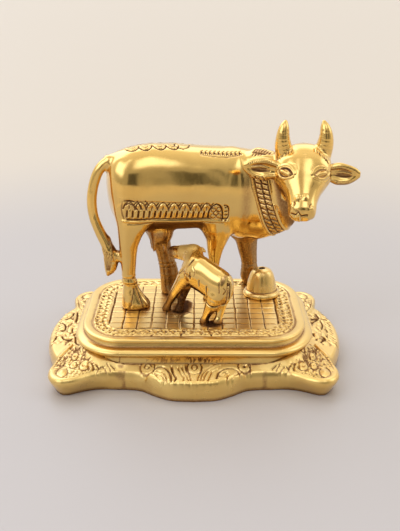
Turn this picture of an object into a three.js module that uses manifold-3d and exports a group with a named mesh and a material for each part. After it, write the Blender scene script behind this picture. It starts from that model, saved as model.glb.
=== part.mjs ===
// A brass cow with her suckling calf and a small domed incense holder on an ornate stepped plinth.
// Lengths are in millimetres, +Z is up, and the cow is seen from -Y.
import * as THREE from "three";
import { mergeVertices } from "three/addons/utils/BufferGeometryUtils.js";
import Module from "manifold-3d";

const wasm = await Module();
wasm.setup();

// The plinth.
const BASE_HALF_LENGTH = 60;
const BASE_HALF_DEPTH = 46;
const PLATE_TOP = 19;
const TIER_EDGE = 8;
const TIER_INNER = 8.9;
const LOBE_UNDERCUT = 3;
const PLATFORM_HALF_LENGTH = 44;
const PLATFORM_HALF_DEPTH = 33;
const CORNER_LONG = 16;
const CORNER_DEEP = 20;
const WALL = 2.6;
const BORDER_OUTER = 3.4;
const BORDER_INNER = 9.7;
const BORDER_SINK = 0.6;
const TILE_COLUMNS = 12;
const TILE_ROWS = 10;
const TILE_LONG = 5.55;
const TILE_DEEP = 4.8;
const GROOVE_WIDTH = 0.95;
const GROOVE_DEPTH = 0.4;

// Ornament and outline are drawn on a plinth of 120 x 92 mm with an 11 mm edge, and follow this one.
const LENGTH_SHARE = BASE_HALF_LENGTH / 60;
const DEPTH_SHARE = BASE_HALF_DEPTH / 46;
const EDGE_SHARE = (PLATE_TOP - TIER_EDGE) / 11;

// The domed holder.
const HOLDER_X = 28.5;
const HOLDER_Y = 14;
const HOLDER_HEIGHT = 11.7;
const HOLDER_FLANGE = 7.8;
const HOLDER_BORE = 1.2;

// The cow from hoofs to horn tips. She and the calf are drawn for 76.2 mm and follow this height.
const COW_HEIGHT = 76.2;
const HERD_SHARE = COW_HEIGHT / 76.2;

// How far the outermost ear tip reaches from the plinth's middle, which moves the middle of the whole.
const EAR_REACH = 65.7 * HERD_SHARE;

// Faces flatter than this are joined.
const FINEST = 0.09;

const v3 = (x, y, z) => new THREE.Vector3(x, y, z);
const clamp = (x) => Math.min(1, Math.max(0, x));
const mix = (a, b, f) => a + (b - a) * f;
const Z = v3(0, 0, 1);

// A closed three.js surface as a solid that faces outward.
function solid(geometry) {
  const plain = geometry.clone();
  plain.deleteAttribute("normal");
  plain.deleteAttribute("uv");
  const merged = mergeVertices(plain, 1e-4);
  const vertProperties = new Float32Array(merged.attributes.position.array);
  const triVerts = new Uint32Array(merged.index.array);
  const make = () => new wasm.Manifold(new wasm.Mesh({ numProp: 3, vertProperties, triVerts }));
  const made = make();
  if (made.volume() > 0) return made;
  for (let i = 0; i < triVerts.length; i += 3) {
    [triVerts[i + 1], triVerts[i + 2]] = [triVerts[i + 2], triVerts[i + 1]];
  }
  return make();
}

// A body skinned over a row of rings with the same count of points. A looped row has no ends.
function skin(rings, looped = false) {
  const count = rings[0].length;
  const points = rings.flat();
  const faces = [];
  const rows = looped ? rings.length : rings.length - 1;
  for (let r = 0; r < rows; r++) {
    const here = r * count;
    const next = ((r + 1) % rings.length) * count;
    for (let i = 0; i < count; i++) {
      const j = (i + 1) % count;
      faces.push(here + i, here + j, next + j, here + i, next + j, next + i);
    }
  }
  if (!looped) {
    for (const [start, turned] of [[0, true], [(rings.length - 1) * count, false]]) {
      const middle = v3(0, 0, 0);
      for (let i = 0; i < count; i++) middle.addScaledVector(points[start + i], 1 / count);
      const hub = points.push(middle) - 1;
      for (let i = 0; i < count; i++) {
        const a = start + i;
        const b = start + ((i + 1) % count);
        faces.push(...(turned ? [b, a, hub] : [a, b, hub]));
      }
    }
  }
  const geometry = new THREE.BufferGeometry().setFromPoints(points);
  geometry.setIndex(faces);
  return solid(geometry);
}

function union(parts) {
  return parts.reduce((whole, part) => whole.add(part));
}

// A frame to build in: a place, and the directions that lengths, widths and heights run in.
function makeFrame(origin, along, upward) {
  const forward = along.clone().normalize();
  const side = upward.clone().cross(forward).normalize();
  const up = forward.clone().cross(side).normalize();
  return { origin, along: forward, side, up };
}

function place(frame, t, s, u) {
  return frame.origin.clone().addScaledVector(frame.along, t).addScaledVector(frame.side, s)
    .addScaledVector(frame.up, u);
}

const boxy = (x, power) => Math.sign(x) * Math.abs(x) ** power;

// A form is a row of sections, each with its place, its middle to the side, half its width, and its low and
// high edges.
function form(frame, rows, count, power = 0.92) {
  return skin(rows.map(([t, middle, half, low, high]) => {
    const ring = [];
    for (let i = 0; i < count; i++) {
      const angle = (2 * Math.PI * i) / count;
      const s = middle + half * boxy(Math.cos(angle), power);
      const u = (low + high) / 2 + ((high - low) / 2) * boxy(Math.sin(angle), power);
      ring.push(place(frame, t, s, u));
    }
    return ring;
  }));
}

// The section of a form at any place along it.
function sectionAt(rows, t) {
  const last = rows.length - 1;
  let k = 0;
  while (k < last - 1 && rows[k + 1][0] < t) k++;
  const f = clamp((t - rows[k][0]) / (rows[k + 1][0] - rows[k][0]));
  return rows[k].map((value, i) => mix(value, rows[k + 1][i], f));
}

// A point on the side of a form (hand 1 or -1) at a given height, moved out by lift.
function onSide(frame, rows, t, height, hand, lift, power = 0.92) {
  const [, middle, half, low, high] = sectionAt(rows, t);
  const rise = Math.min(0.98, Math.max(-0.98, (height - (low + high) / 2) / ((high - low) / 2)));
  const sine = boxy(rise, 1 / power);
  const across = half * Math.sqrt(1 - sine * sine) ** power;
  const out = v3(0, 0, 0).addScaledVector(frame.side, (hand * across) / half ** 2)
    .addScaledVector(frame.up, (4 * (height - (low + high) / 2)) / (high - low) ** 2).normalize();
  return place(frame, t, middle + hand * across, height).addScaledVector(out, lift);
}

// A tube of changing thickness along a smooth curve; each station is a point and a radius.
function tube(stations, steps, count, flat = 1) {
  const curve = new THREE.CatmullRomCurve3(stations.map(([p]) => p));
  const rings = [];
  let side = v3(0, 1, 0.01);
  for (let i = 0; i <= steps; i++) {
    const f = i / steps;
    const k = Math.min(stations.length - 2, Math.floor(f * (stations.length - 1)));
    const radius = mix(stations[k][1], stations[k + 1][1], f * (stations.length - 1) - k);
    const tangent = curve.getTangent(f);
    side = side.clone().addScaledVector(tangent, -side.dot(tangent)).normalize();
    const up = tangent.clone().cross(side);
    const centre = curve.getPoint(f);
    const ring = [];
    for (let j = 0; j < count; j++) {
      const a = (2 * Math.PI * j) / count;
      ring.push(centre.clone().addScaledVector(side, flat * radius * Math.cos(a))
        .addScaledVector(up, radius * Math.sin(a)));
    }
    rings.push(ring);
  }
  return skin(rings);
}

// A three-sided bar along a path on a surface: its feet at one height over the surface, its ridge at another.
function strand(points, normals, width, feet, ridge, looped = false) {
  const last = points.length - 1;
  return skin(points.map((point, i) => {
    const before = looped ? points[(i + last) % points.length] : points[Math.max(0, i - 1)];
    const after = looped ? points[(i + 1) % points.length] : points[Math.min(last, i + 1)];
    const tangent = after.clone().sub(before).normalize();
    const side = normals[i].clone().cross(tangent).normalize();
    const foot = point.clone().addScaledVector(normals[i], feet);
    return [
      foot.clone().addScaledVector(side, width / 2),
      point.clone().addScaledVector(normals[i], ridge),
      foot.clone().addScaledVector(side, -width / 2),
    ];
  }), looped);
}

const raised = (points, width, lift, looped = false) =>
  strand(points, points.map(() => Z), width, -0.7, lift, looped);

// A small pyramid that stands on the polygon of its feet.
function peak(feet, top) {
  const hub = feet.reduce((sum, p) => sum.addScaledVector(p, 1 / feet.length), v3(0, 0, 0));
  const points = [...feet, top, hub];
  const faces = feet.flatMap((p, i) => {
    const j = (i + 1) % feet.length;
    return [i, j, feet.length, j, i, feet.length + 1];
  });
  const geometry = new THREE.BufferGeometry().setFromPoints(points);
  geometry.setIndex(faces);
  return solid(geometry);
}

// A block between four corners: each has a point inside the surface and one over it.
function plaque(corners) {
  return skin([corners.map(([inner]) => inner), corners.map(([, outer]) => outer)]);
}

// The plinth's outline, one quarter of it between the cusps.
const FRONT_TONGUE = [[0, 45.8], [8, 45], [14, 41.8], [19.7, 37.6], [25.8, 36.4]];
const LOBE = [
  [25.8, 36.4], [33.7, 36.8], [38.7, 39], [43.8, 42.6], [48.8, 44],
  [52.5, 41.4], [54.2, 36.5], [53, 30], [52.4, 26],
];
const SIDE_TONGUE = [[52.4, 26], [55.3, 20], [57.6, 12.5], [58.8, 5], [59, 0]];

function arc(points, steps) {
  const scaled = points.map(([x, y]) => v3(x * LENGTH_SHARE, y * DEPTH_SHARE, 0));
  return new THREE.CatmullRomCurve3(scaled).getSpacedPoints(steps).slice(0, -1);
}

function plinthOutline() {
  const quarter = [...arc(FRONT_TONGUE, 5), ...arc(LOBE, 8), ...arc(SIDE_TONGUE, 4)];
  const end = v3(SIDE_TONGUE[SIDE_TONGUE.length - 1][0] * LENGTH_SHARE, 0, 0);
  const flip = (p, sx, sy) => v3(p.x * sx, p.y * sy, 0);
  const one = quarter.map((p) => flip(p, 1, -1));
  const two = [end, ...quarter.slice(1).reverse()];
  const three = quarter.map((p) => flip(p, -1, 1));
  const four = [end, ...quarter.slice(1).reverse()].map((p) => flip(p, -1, -1));
  return [...one, ...two, ...three, ...four];
}

const OUTLINE = plinthOutline();

// How far the wall leans in at the floor under the corner lobes.
function undercut(p) {
  const outward = clamp((Math.abs(p.x) / LENGTH_SHARE - 30) / 9);
  return LOBE_UNDERCUT * outward * clamp((Math.abs(p.y) / DEPTH_SHARE - 35) / 6);
}

function outlineRing(offset, height) {
  return OUTLINE.map((p, i) => {
    const before = OUTLINE[(i + OUTLINE.length - 1) % OUTLINE.length];
    const after = OUTLINE[(i + 1) % OUTLINE.length];
    const tangent = after.clone().sub(before).normalize();
    const out = offset(p);
    return v3(p.x + tangent.y * out, p.y - tangent.x * out, height);
  });
}

// The platform's rounded rectangle, met along a ray from its middle.
function platformHit(p, offset) {
  const inside = (k) => {
    const x = Math.max(Math.abs(p.x * k) - (PLATFORM_HALF_LENGTH - CORNER_LONG), 0) / (CORNER_LONG + offset);
    const y = Math.max(Math.abs(p.y * k) - (PLATFORM_HALF_DEPTH - CORNER_DEEP), 0) / (CORNER_DEEP + offset);
    return Math.hypot(x, y) < 1;
  };
  let low = 0;
  let high = 2;
  for (let i = 0; i < 30; i++) {
    const k = (low + high) / 2;
    if (inside(k)) low = k;
    else high = k;
  }
  return low;
}

function towardPlatform(offset, height) {
  return OUTLINE.map((p) => {
    const k = platformHit(p, offset);
    return v3(p.x * k, p.y * k, height);
  });
}

function platformRing(offset, height, steps = 6) {
  const ring = [];
  for (let q = 0; q < 4; q++) {
    for (let i = 0; i <= steps; i++) {
      const a = ((q + i / steps) * Math.PI) / 2;
      const x = (PLATFORM_HALF_LENGTH - CORNER_LONG) * (q === 0 || q === 3 ? 1 : -1);
      const y = (PLATFORM_HALF_DEPTH - CORNER_DEEP) * (q < 2 ? 1 : -1);
      const across = (CORNER_LONG + offset) * Math.cos(a);
      const deep = (CORNER_DEEP + offset) * Math.sin(a);
      ring.push(v3(x + across, y + deep, height));
    }
  }
  return ring;
}

function tier() {
  return skin([
    outlineRing((p) => 0.2 - undercut(p), 0),
    outlineRing((p) => 1 - 0.4 * undercut(p), 0.5 * TIER_EDGE),
    outlineRing(() => 0.5, TIER_EDGE - 1.1),
    outlineRing(() => -0.5, TIER_EDGE),
    outlineRing(() => -1.7, TIER_EDGE),
    outlineRing(() => -2.3, TIER_EDGE - 0.6),
    towardPlatform(2, TIER_INNER - 0.5),
  ]);
}

// The stepped edge of the platform from the top down: rim, groove, fascia, torus, groove and skirt.
const PLATFORM_EDGE = [
  [-1, 0], [-0.2, -0.3], [-0.2, -1.3], [-1.2, -1.7], [-1.1, -3.2], [1, -3.5], [2.8, -4.4],
  [2.7, -5.3], [1.1, -6.2], [0.7, -8.8], [1.9, -12.4],
];

function platform() {
  return skin(PLATFORM_EDGE.map(([offset, depth]) => platformRing(offset, PLATE_TOP + depth * EDGE_SHARE)));
}

// The band between the rim and the tiles, cut down so that its leaves stand in it.
function borderCut() {
  const section = [
    [-BORDER_OUTER, 1], [-BORDER_INNER, 1], [-BORDER_INNER, -BORDER_SINK],
    [-BORDER_OUTER - 0.4, -BORDER_SINK], [-BORDER_OUTER, -1.5 * BORDER_SINK],
  ];
  return skin(section.map(([offset, height]) => platformRing(offset, PLATE_TOP + height, 5)), true);
}

function borderLeaves() {
  const middle = -(BORDER_OUTER + BORDER_INNER) / 2;
  const ring = new THREE.CatmullRomCurve3(platformRing(middle, PLATE_TOP, 5), true, "centripetal");
  const count = 30;
  const leaves = [];
  for (let i = 0; i < count; i++) {
    const centre = ring.getPointAt(i / count);
    const tangent = ring.getTangentAt(i / count);
    const outward = v3(tangent.y, -tangent.x, 0).applyAxisAngle(Z, (i % 2 ? 0.5 : -0.5));
    const across = v3(-outward.y, outward.x, 0);
    const rim = [[2.8, 0], [0.3, 2], [-2.6, 0.3], [0.1, -2]].map(([a, b]) =>
      centre.clone().addScaledVector(outward, a).addScaledVector(across, b).setZ(PLATE_TOP - 0.8));
    leaves.push(peak(rim, centre.clone().setZ(PLATE_TOP - 0.05)));
  }
  return leaves;
}

function tileGrooves() {
  const bars = [];
  const halfLong = PLATFORM_HALF_LENGTH - BORDER_INNER + 0.6;
  const halfDeep = PLATFORM_HALF_DEPTH - BORDER_INNER + 0.6;
  for (let i = 1; i < TILE_COLUMNS; i++) {
    const x = (i - TILE_COLUMNS / 2) * TILE_LONG;
    const ends = [v3(x, -halfDeep, PLATE_TOP), v3(x, halfDeep, PLATE_TOP)];
    bars.push(strand(ends, [Z, Z], GROOVE_WIDTH, 0.25, -GROOVE_DEPTH));
  }
  for (let i = 1; i < TILE_ROWS; i++) {
    const y = (i - TILE_ROWS / 2) * TILE_DEEP;
    const ends = [v3(-halfLong, y, PLATE_TOP), v3(halfLong, y, PLATE_TOP)];
    bars.push(strand(ends, [Z, Z], GROOVE_WIDTH, 0.25, -GROOVE_DEPTH));
  }
  return bars;
}

const TIER_TOP = TIER_EDGE - 0.4;
const onTier = (x, y) => v3(x * LENGTH_SHARE, y * DEPTH_SHARE, TIER_TOP);

// A flat scroll that winds in to its middle.
function volute(x, y, radius, turns, start, hand) {
  const steps = 6;
  const points = [];
  for (let i = 0; i <= steps; i++) {
    const f = i / steps;
    const a = start + hand * turns * 2 * Math.PI * f;
    const r = mix(radius, 0.35, f);
    points.push(onTier(x + r * Math.cos(a), y + r * Math.sin(a)));
  }
  return raised(points, 1.3, 0.8);
}

function frond(from, bend, to, width = 1.4) {
  const curve = new THREE.QuadraticBezierCurve3(onTier(...from), onTier(...bend), onTier(...to));
  return raised(curve.getPoints(2), width, 0.75);
}

function rosette(x, y, radius) {
  const points = [];
  for (let i = 0; i < 6; i++) {
    const a = (i * Math.PI) / 3;
    points.push(onTier(x + radius * Math.cos(a), y + radius * Math.sin(a)));
  }
  return [raised(points, 1.1, 0.8, true), boss(x, y, 0.8)];
}

// A small pointed bead on the tier.
function boss(x, y, radius) {
  const ring = [];
  for (let i = 0; i < 5; i++) {
    const a = (i * 2 * Math.PI) / 5;
    ring.push(onTier(x + radius * Math.cos(a), y + radius * Math.sin(a)).setZ(TIER_TOP - 0.4));
  }
  return peak(ring, onTier(x, y).setZ(TIER_TOP + 0.9));
}

// The scrolls of a tongue at the front or the back, which is plainer.
function tongueScrolls(sy) {
  const parts = [...rosette(0, sy * 38.3, 2)];
  for (const sx of [-1, 1]) {
    parts.push(volute(sx * 18, sy * 35.8, 2.2, 1.25, sx > 0 ? 0 : Math.PI, sx * sy));
    parts.push(frond([sx * 9, sy * 40.6], [sx * 10.5, sy * 35], [sx * 15.5, sy * 38.6], 1.8));
    if (sy > 0) continue;
    parts.push(frond([sx * 3.8, sy * 36.4], [sx * 4, sy * 41], [sx * 6.5, sy * 43]));
    parts.push(frond([sx * 6.8, sy * 36.4], [sx * 7, sy * 40], [sx * 10, sy * 41.4]));
  }
  return parts;
}

function sideScrolls(sx) {
  const parts = [...rosette(sx * 53.2, 0, 1.9)];
  for (const sy of [-1, 1]) {
    parts.push(volute(sx * 50.6, sy * 17, 2.1, 1.25, 0, sx * sy));
    parts.push(frond([sx * 49, sy * 4], [sx * 54, sy * 3.8], [sx * 56, sy * 7.4]));
    parts.push(frond([sx * 49, sy * 11], [sx * 52, sy * 6.4], [sx * 55.4, sy * 12.2], 1.8));
  }
  return parts;
}

function lobeScrolls(sx, sy) {
  const at = (x, y) => [sx * x, sy * y];
  const parts = [...rosette(sx * 49.6, sy * 38.4, 1.9)];
  if (sy > 0) return [...parts, frond(at(39.5, 35.4), at(42, 31), at(46.4, 33.6))];
  parts.push(volute(sx * 42.4, sy * 34.4, 2, 1.1, 0, sx * sy));
  parts.push(frond(at(45.8, 31.6), at(49.4, 30.6), at(50.6, 34)));
  parts.push(boss(sx * 49.4, sy * 28.4, 1));
  return parts;
}

// The hollow under the plinth, open below.
function hollow() {
  const lower = skin([
    outlineRing((p) => -WALL - undercut(p), -1),
    outlineRing((p) => -WALL - 0.6 * undercut(p), TIER_EDGE - WALL - 0.4),
    towardPlatform(-1, TIER_INNER - WALL),
  ].map((ring) => ring.filter((p, i) => i % 2 === 0)));
  const upper = skin([-1, PLATE_TOP - WALL - 1.5, PLATE_TOP - WALL].map((height, i) =>
    platformRing([-WALL - 1, -WALL - 1, -WALL - 2.5][i], height, 4)));
  return lower.add(upper);
}

function base() {
  const grooves = union(tileGrooves());
  const ornament = [...tongueScrolls(1), ...tongueScrolls(-1), ...sideScrolls(1), ...sideScrolls(-1)];
  for (const sx of [-1, 1]) {
    for (const sy of [-1, 1]) ornament.push(...lobeScrolls(sx, sy));
  }
  const top = platform().subtract(borderCut()).subtract(grooves).add(union(borderLeaves()));
  return tier().add(top).add(union(ornament)).subtract(hollow());
}

// The dome's outside as shares of the flange's radius and of the height.
const DOME = [
  [0.95, 0], [1, 0.068], [0.91, 0.171], [0.82, 0.205], [0.744, 0.53], [0.628, 0.786], [0.487, 0.932],
];

function holder() {
  const profile = [
    [0, 0], ...DOME.map(([r, z]) => [r * HOLDER_FLANGE, z * HOLDER_HEIGHT]),
    [HOLDER_BORE + 1.5, HOLDER_HEIGHT], [HOLDER_BORE + 0.8, HOLDER_HEIGHT - 0.1],
    [HOLDER_BORE, HOLDER_HEIGHT - 1.1], [HOLDER_BORE, 2.5], [0, 2.5],
  ];
  const turned = new THREE.LatheGeometry(profile.map(([r, z]) => new THREE.Vector2(r, z)), 18);
  turned.rotateX(Math.PI / 2);
  turned.translate(HOLDER_X, HOLDER_Y, PLATE_TOP);
  return solid(turned);
}

// The cow stands turned by this much, with her middle over this point of the plate.
const COW_TURN = (15 * Math.PI) / 180;
const COW_MIDDLE = v3(-1.3, 12.8, PLATE_TOP);
const COW_FORWARD = v3(Math.cos(COW_TURN), Math.sin(COW_TURN), 0);
const COW = makeFrame(COW_MIDDLE, COW_FORWARD, Z);
const COW_UP = makeFrame(COW_MIDDLE, Z, COW_FORWARD);
const cowPoint = (u, v, w) => place(COW, u, v, w);
const NEAR = -1;
const FAR = 1;

const TRUNK = [
  [-34.2, 0, 2.2, 47.5, 55],
  [-33.7, 0, 5.6, 43, 58.6],
  [-32.4, 0, 8.4, 38, 61.2],
  [-29.5, 0, 10.7, 33.8, 63.4],
  [-24, 0, 12.2, 31.5, 65.1],
  [-16, 0, 13, 30.7, 66],
  [-8, 0, 13.4, 30.5, 65.7],
  [0, 0, 13.5, 30.3, 64.7],
  [8, 0, 13.3, 30, 63.8],
  [14, 0, 12.8, 28.6, 63.2],
  [18, 0, 11.5, 26.4, 62.4],
  [20.5, 0, 9.8, 25, 61.4],
  [24, 0, 8.4, 25, 60.6],
  [27, 0, 5, 28, 58],
];

const NECK_FRAME = makeFrame(v3(16.1, 17.5, PLATE_TOP), v3(Math.cos(-0.52), Math.sin(-0.52), 0), Z);
const NECK = [
  [0, 0, 8.6, 27, 61],
  [6, 0, 8.9, 26, 61.8],
  [11, 0, 8.5, 26, 63.3],
  [16, 0, 8, 27.2, 63],
  [21, 0, 7.6, 29.4, 62.2],
  [26, -0.6, 7, 32.6, 62],
  [30, -1.2, 5.4, 38, 60],
];

const HEAD_FRAME = makeFrame(v3(42.9, 3, 81.2), v3(-0.075, -0.67, -0.74), Z);
const HEAD = [
  [-6, 0, 4.5, -6, 0.2],
  [-3.6, 0, 8.6, -8, 2.6],
  [0, 0, 10.4, -9, 4.2],
  [4, 0, 10.9, -9.4, 5.1],
  [8.5, 0, 10.8, -9.4, 5],
  [12, 0, 9, -9, 4.4],
  [16, 0, 6.8, -8, 3.7],
  [20, 0, 5.7, -6.8, 3.2],
  [23.5, 0, 5.4, -6, 2.9],
  [25.4, 0, 4.8, -4.8, 1.8],
  [26.6, 0, 3, -3.4, 0.4],
];

// Each leg from the hoof up: height, middle to the side, half thickness, back edge and front edge.
const NEAR_HIND = [
  [0, -6.6, 4.5, -30.6, -19.6],
  [1, -6.6, 4.7, -31, -19.2],
  [5.8, -6.6, 3.7, -30.6, -22.2],
  [10.2, -6.6, 2.8, -30.2, -24.4],
  [11.6, -6.6, 3.2, -30.8, -24.5],
  [13.2, -6.6, 2.8, -30.6, -25.1],
  [19, -6.7, 3.1, -30.9, -24.8],
  [25, -6.9, 3.7, -31.4, -24.1],
  [30, -7, 4.4, -31.6, -22.4],
  [35, -7, 5, -32, -19.2],
  [40, -6.6, 4.9, -32.4, -17],
  [47, -5.6, 4.4, -31.5, -17],
];
const FAR_HIND = [
  [0, 5.5, 4.2, -11.4, -2.8],
  [1, 5.5, 4.4, -11.8, -2.4],
  [5, 5.5, 3.3, -12, -4.6],
  [8.5, 5.5, 3.4, -12.2, -4.4],
  [12, 5.5, 3.2, -12.6, -5],
  [18.5, 5.6, 3.3, -13.9, -7.2],
  [26, 5.8, 4.2, -17.2, -7.8],
  [33, 6.2, 5, -21, -7],
  [40, 6.4, 4.8, -26, -7],
  [47, 5.6, 4.4, -26, -8],
];
const NEAR_FRONT = [
  [0, -5.8, 4, 3.8, 13.4],
  [1, -5.8, 4.2, 3.5, 13.8],
  [6, -5.8, 3.2, 5, 11.8],
  [10.5, -5.8, 2.4, 6, 10.6],
  [12, -5.8, 2.8, 5.8, 10.9],
  [14, -5.8, 2.4, 6.4, 10.4],
  [20, -6, 2.9, 5.5, 11.5],
  [26, -6.3, 3.6, 4.7, 14],
  [31, -6.5, 4.4, 2.6, 16.8],
  [38, -6.4, 5, 1.5, 18.4],
  [46, -5.6, 4.8, 2, 18],
];
const FAR_FRONT = [
  [0, 6.7, 4.1, 25.2, 33.6],
  [1, 6.7, 4.3, 25, 34],
  [4, 6.7, 3.4, 24, 32.4],
  [6.5, 6.7, 3.2, 24.1, 31.4],
  [8.5, 6.7, 3.5, 24.4, 31.3],
  [10.5, 6.7, 3.1, 24.2, 31.1],
  [15.4, 6.7, 3.3, 22.9, 31],
  [20, 6.5, 3.8, 21.4, 31],
  [24, 5.4, 4.6, 18, 33],
  [31, 4.2, 5, 16, 33.6],
  [40, 3.4, 5.2, 14, 32],
  [50, 2.6, 4.6, 12, 28],
];

function horn(sx, x) {
  return tube([
    [v3(x - sx * 2, 5, 79), 4], [v3(x - sx * 0.3, 4.3, 84.5), 3.4], [v3(x + sx * 0.1, 3.8, 88.8), 2.7],
    [v3(x - sx * 0.3, 4.2, 92), 2], [v3(x - sx * 0.9, 4.8, 94.4), 1], [v3(x - sx * 1.2, 5, 95), 0.3],
  ], 8, 8);
}

// Each ear is a hollowed leaf: along it, middle, half thickness, low edge and high edge.
const EAR = [
  [-2, 0, 1.8, -3, 3],
  [1, 0, 1.9, -3.6, 3.9],
  [4, 0, 1.9, -4.5, 4.5],
  [7.5, 0, 1.7, -4.2, 3.9],
  [10.5, 0, 1.3, -2.8, 2.9],
  [12.6, 0, 0.9, -1, 1.5],
];

function ear(origin, along) {
  const frame = makeFrame(origin, along, Z);
  const toward = frame.side.y < 0 ? 1 : -1;
  const cavity = EAR.map(([t, , half, low, high]) =>
    [t * 0.76 + 1.4, toward * 1.9, half * 0.8, low * 0.6, high * 0.6]);
  return form(frame, EAR, 10).subtract(form(frame, cavity, 8));
}

function tail() {
  const switchAndTuft = tube([
    [v3(-29.5, 4.8, 79.8), 2.3], [v3(-33.8, 4.2, 78.8), 2.2], [v3(-37.4, 3.6, 75.4), 2.1],
    [v3(-39.7, 3, 69.5), 2], [v3(-40.6, 2.4, 63), 2], [v3(-39.9, 1.8, 56.6), 2], [v3(-37.8, 1.2, 51), 2.1],
    [v3(-35.2, 0.7, 45.6), 2.4], [v3(-33.6, 0.3, 40.6), 3], [v3(-33.8, 0, 36.4), 2.5], [v3(-35, 0, 33), 0.7],
  ], 15, 7);
  const curls = [-1, 0, 1].map((k) => {
    const points = [v3(-36, -1.9, 45), v3(-34.4 + k * 1.4, -2.6, 40.6), v3(-34.9 + k * 0.8, -2.2, 35.6)];
    return strand(points, points.map(() => v3(0, -1, 0)), 0.9, -1.4, 0.4);
  });
  const web = tube([[v3(-33, 0, 42.5), 1.5], [v3(-29.5, -0.8, 40.5), 1.7]], 2, 6);
  return union([switchAndTuft, ...curls, web]);
}

function udder() {
  const bag = form(makeFrame(cowPoint(-13.4, -1.6, 0), Z, COW_FORWARD), [
    [24.8, 0, 1.6, -1.8, 1.8], [25.6, 0, 3.2, -3.6, 3.6], [28, 0, 4.4, -5, 5], [32, 0, 5, -5.8, 5.8],
  ], 10);
  const teats = [[-3, -2.2], [1.6, -2.2], [-3, 1.6], [1.6, 1.6]].map(([u, v]) =>
    tube([[cowPoint(-13.4 + u, -1.6 + v, 27), 1.2], [cowPoint(-13.4 + u, -1.6 + v, 22.6), 0.8]], 2, 6));
  return union([bag, ...teats]);
}

// The saddle cloth's border along each flank: arches over a row of reeds, between two cords.
function flankBorder(hand) {
  const at = (u, w, lift) => onSide(COW, TRUNK, u, w - 0.1 * (u + 9), hand, lift);
  const block = (spots, u, w) => peak(spots.map(([a, b]) => at(a, b, -1)), at(u, w, 0.8));
  const parts = [];
  const reeds = hand === NEAR ? 14 : 0;
  for (let i = 0; i < reeds; i++) {
    const u = -27.4 + i * 2.85;
    parts.push(block([[u - 1.2, 37.5], [u + 1.2, 37.5], [u + 1.2, 41.7], [u - 1.2, 41.7]], u, 39.6));
  }
  for (let i = 0; i < reeds / 2; i++) {
    const u = -25.2 + i * 5.4;
    parts.push(block([[u - 2.8, 42], [u + 2.8, 42], [u, 45.8]], u, 43.2));
  }
  const cords = [[37, 1.1], [45.8, 0.9], [41.7, 0.8]];
  for (const [w, width] of cords.slice(0, hand === NEAR ? 3 : 2)) {
    const points = [];
    const normals = [];
    for (let i = 0; i <= 7; i++) {
      const u = mix(-30.2, 12.6, i / 7);
      points.push(at(u, w, 0));
      normals.push(at(u, w, 1).sub(at(u, w, 0)));
    }
    parts.push(strand(points, normals, width, -0.7, 0.55));
  }
  return parts;
}

// The beaded collar: two columns of square beads between raised rims, down one side of the neck.
function collar(hand) {
  const at = (t, w, lift) => onSide(NECK_FRAME, NECK, t, w, hand, lift);
  const slant = (w) => mix(21.6, 15.6, (w - 30) / 21);
  const parts = [];
  const rows = hand === NEAR ? 10 : 0;
  for (let i = 0; i < rows; i++) {
    const w = 32.4 + i * 2.05;
    for (const s of [-1.4, 1.4]) {
      const t = slant(w) + s;
      const feet = [[t - 1.4, w - 1.1], [t + 1.4, w - 1.1], [t + 1.4, w + 1.1], [t - 1.4, w + 1.1]];
      parts.push(peak(feet.map(([a, b]) => at(a, b, -0.6)), at(t, w, 0.8)));
    }
  }
  for (const s of [-3.1, 3.1]) {
    const points = [];
    const normals = [];
    for (let i = 0; i <= 5; i++) {
      const w = mix(31.4, 52.6, i / 5);
      points.push(at(slant(w) + s, w, 0));
      normals.push(at(slant(w) + s, w, 1).sub(at(slant(w) + s, w, 0)));
    }
    parts.push(strand(points, normals, 0.9, -0.7, 0.7));
  }
  return parts;
}

// A point on the face, moved out by lift: across it, and down it from the poll.
function onFace(x, t, lift) {
  const [, , half, low, high] = sectionAt(HEAD, t);
  const bend = Math.min(0.97, Math.abs(x) / half) ** (1 / 0.92);
  const rise = (low + high) / 2 + ((high - low) / 2) * Math.sqrt(1 - bend * bend) ** 0.92;
  const out = v3(0, 0, 0).addScaledVector(HEAD_FRAME.side, x / half ** 2)
    .addScaledVector(HEAD_FRAME.up, (4 * (rise - (low + high) / 2)) / (high - low) ** 2).normalize();
  return place(HEAD_FRAME, t, x, rise).addScaledVector(out, lift);
}

function eye(sx) {
  const lid = [];
  const normals = [];
  const ball = [];
  for (let i = 0; i < 8; i++) {
    const a = (i * Math.PI) / 4;
    const x = sx * (7.3 + 2.7 * Math.cos(a));
    const t = 8.6 + 1.7 * Math.sin(a) - 0.5 * Math.cos(a);
    lid.push(onFace(x, t, 0));
    normals.push(onFace(x, t, 1).sub(onFace(x, t, 0)));
    const xb = sx * (7.3 + 1.7 * Math.cos(a));
    const tb = 8.6 + Math.sin(a) - 0.3 * Math.cos(a);
    ball.push([onFace(xb, tb, -1), onFace(mix(xb, sx * 7.3, 0.4), mix(tb, 8.6, 0.4), 0.6)]);
  }
  return [strand(lid, normals, 0.9, -0.5, 0.65, true), plaque(ball)];
}

function cut(points, width, depth) {
  return strand(points.map(([x, t]) => onFace(x, t, 0)),
    points.map(([x, t]) => onFace(x, t, 1).sub(onFace(x, t, 0))), width, 0.6, -depth);
}

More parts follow.
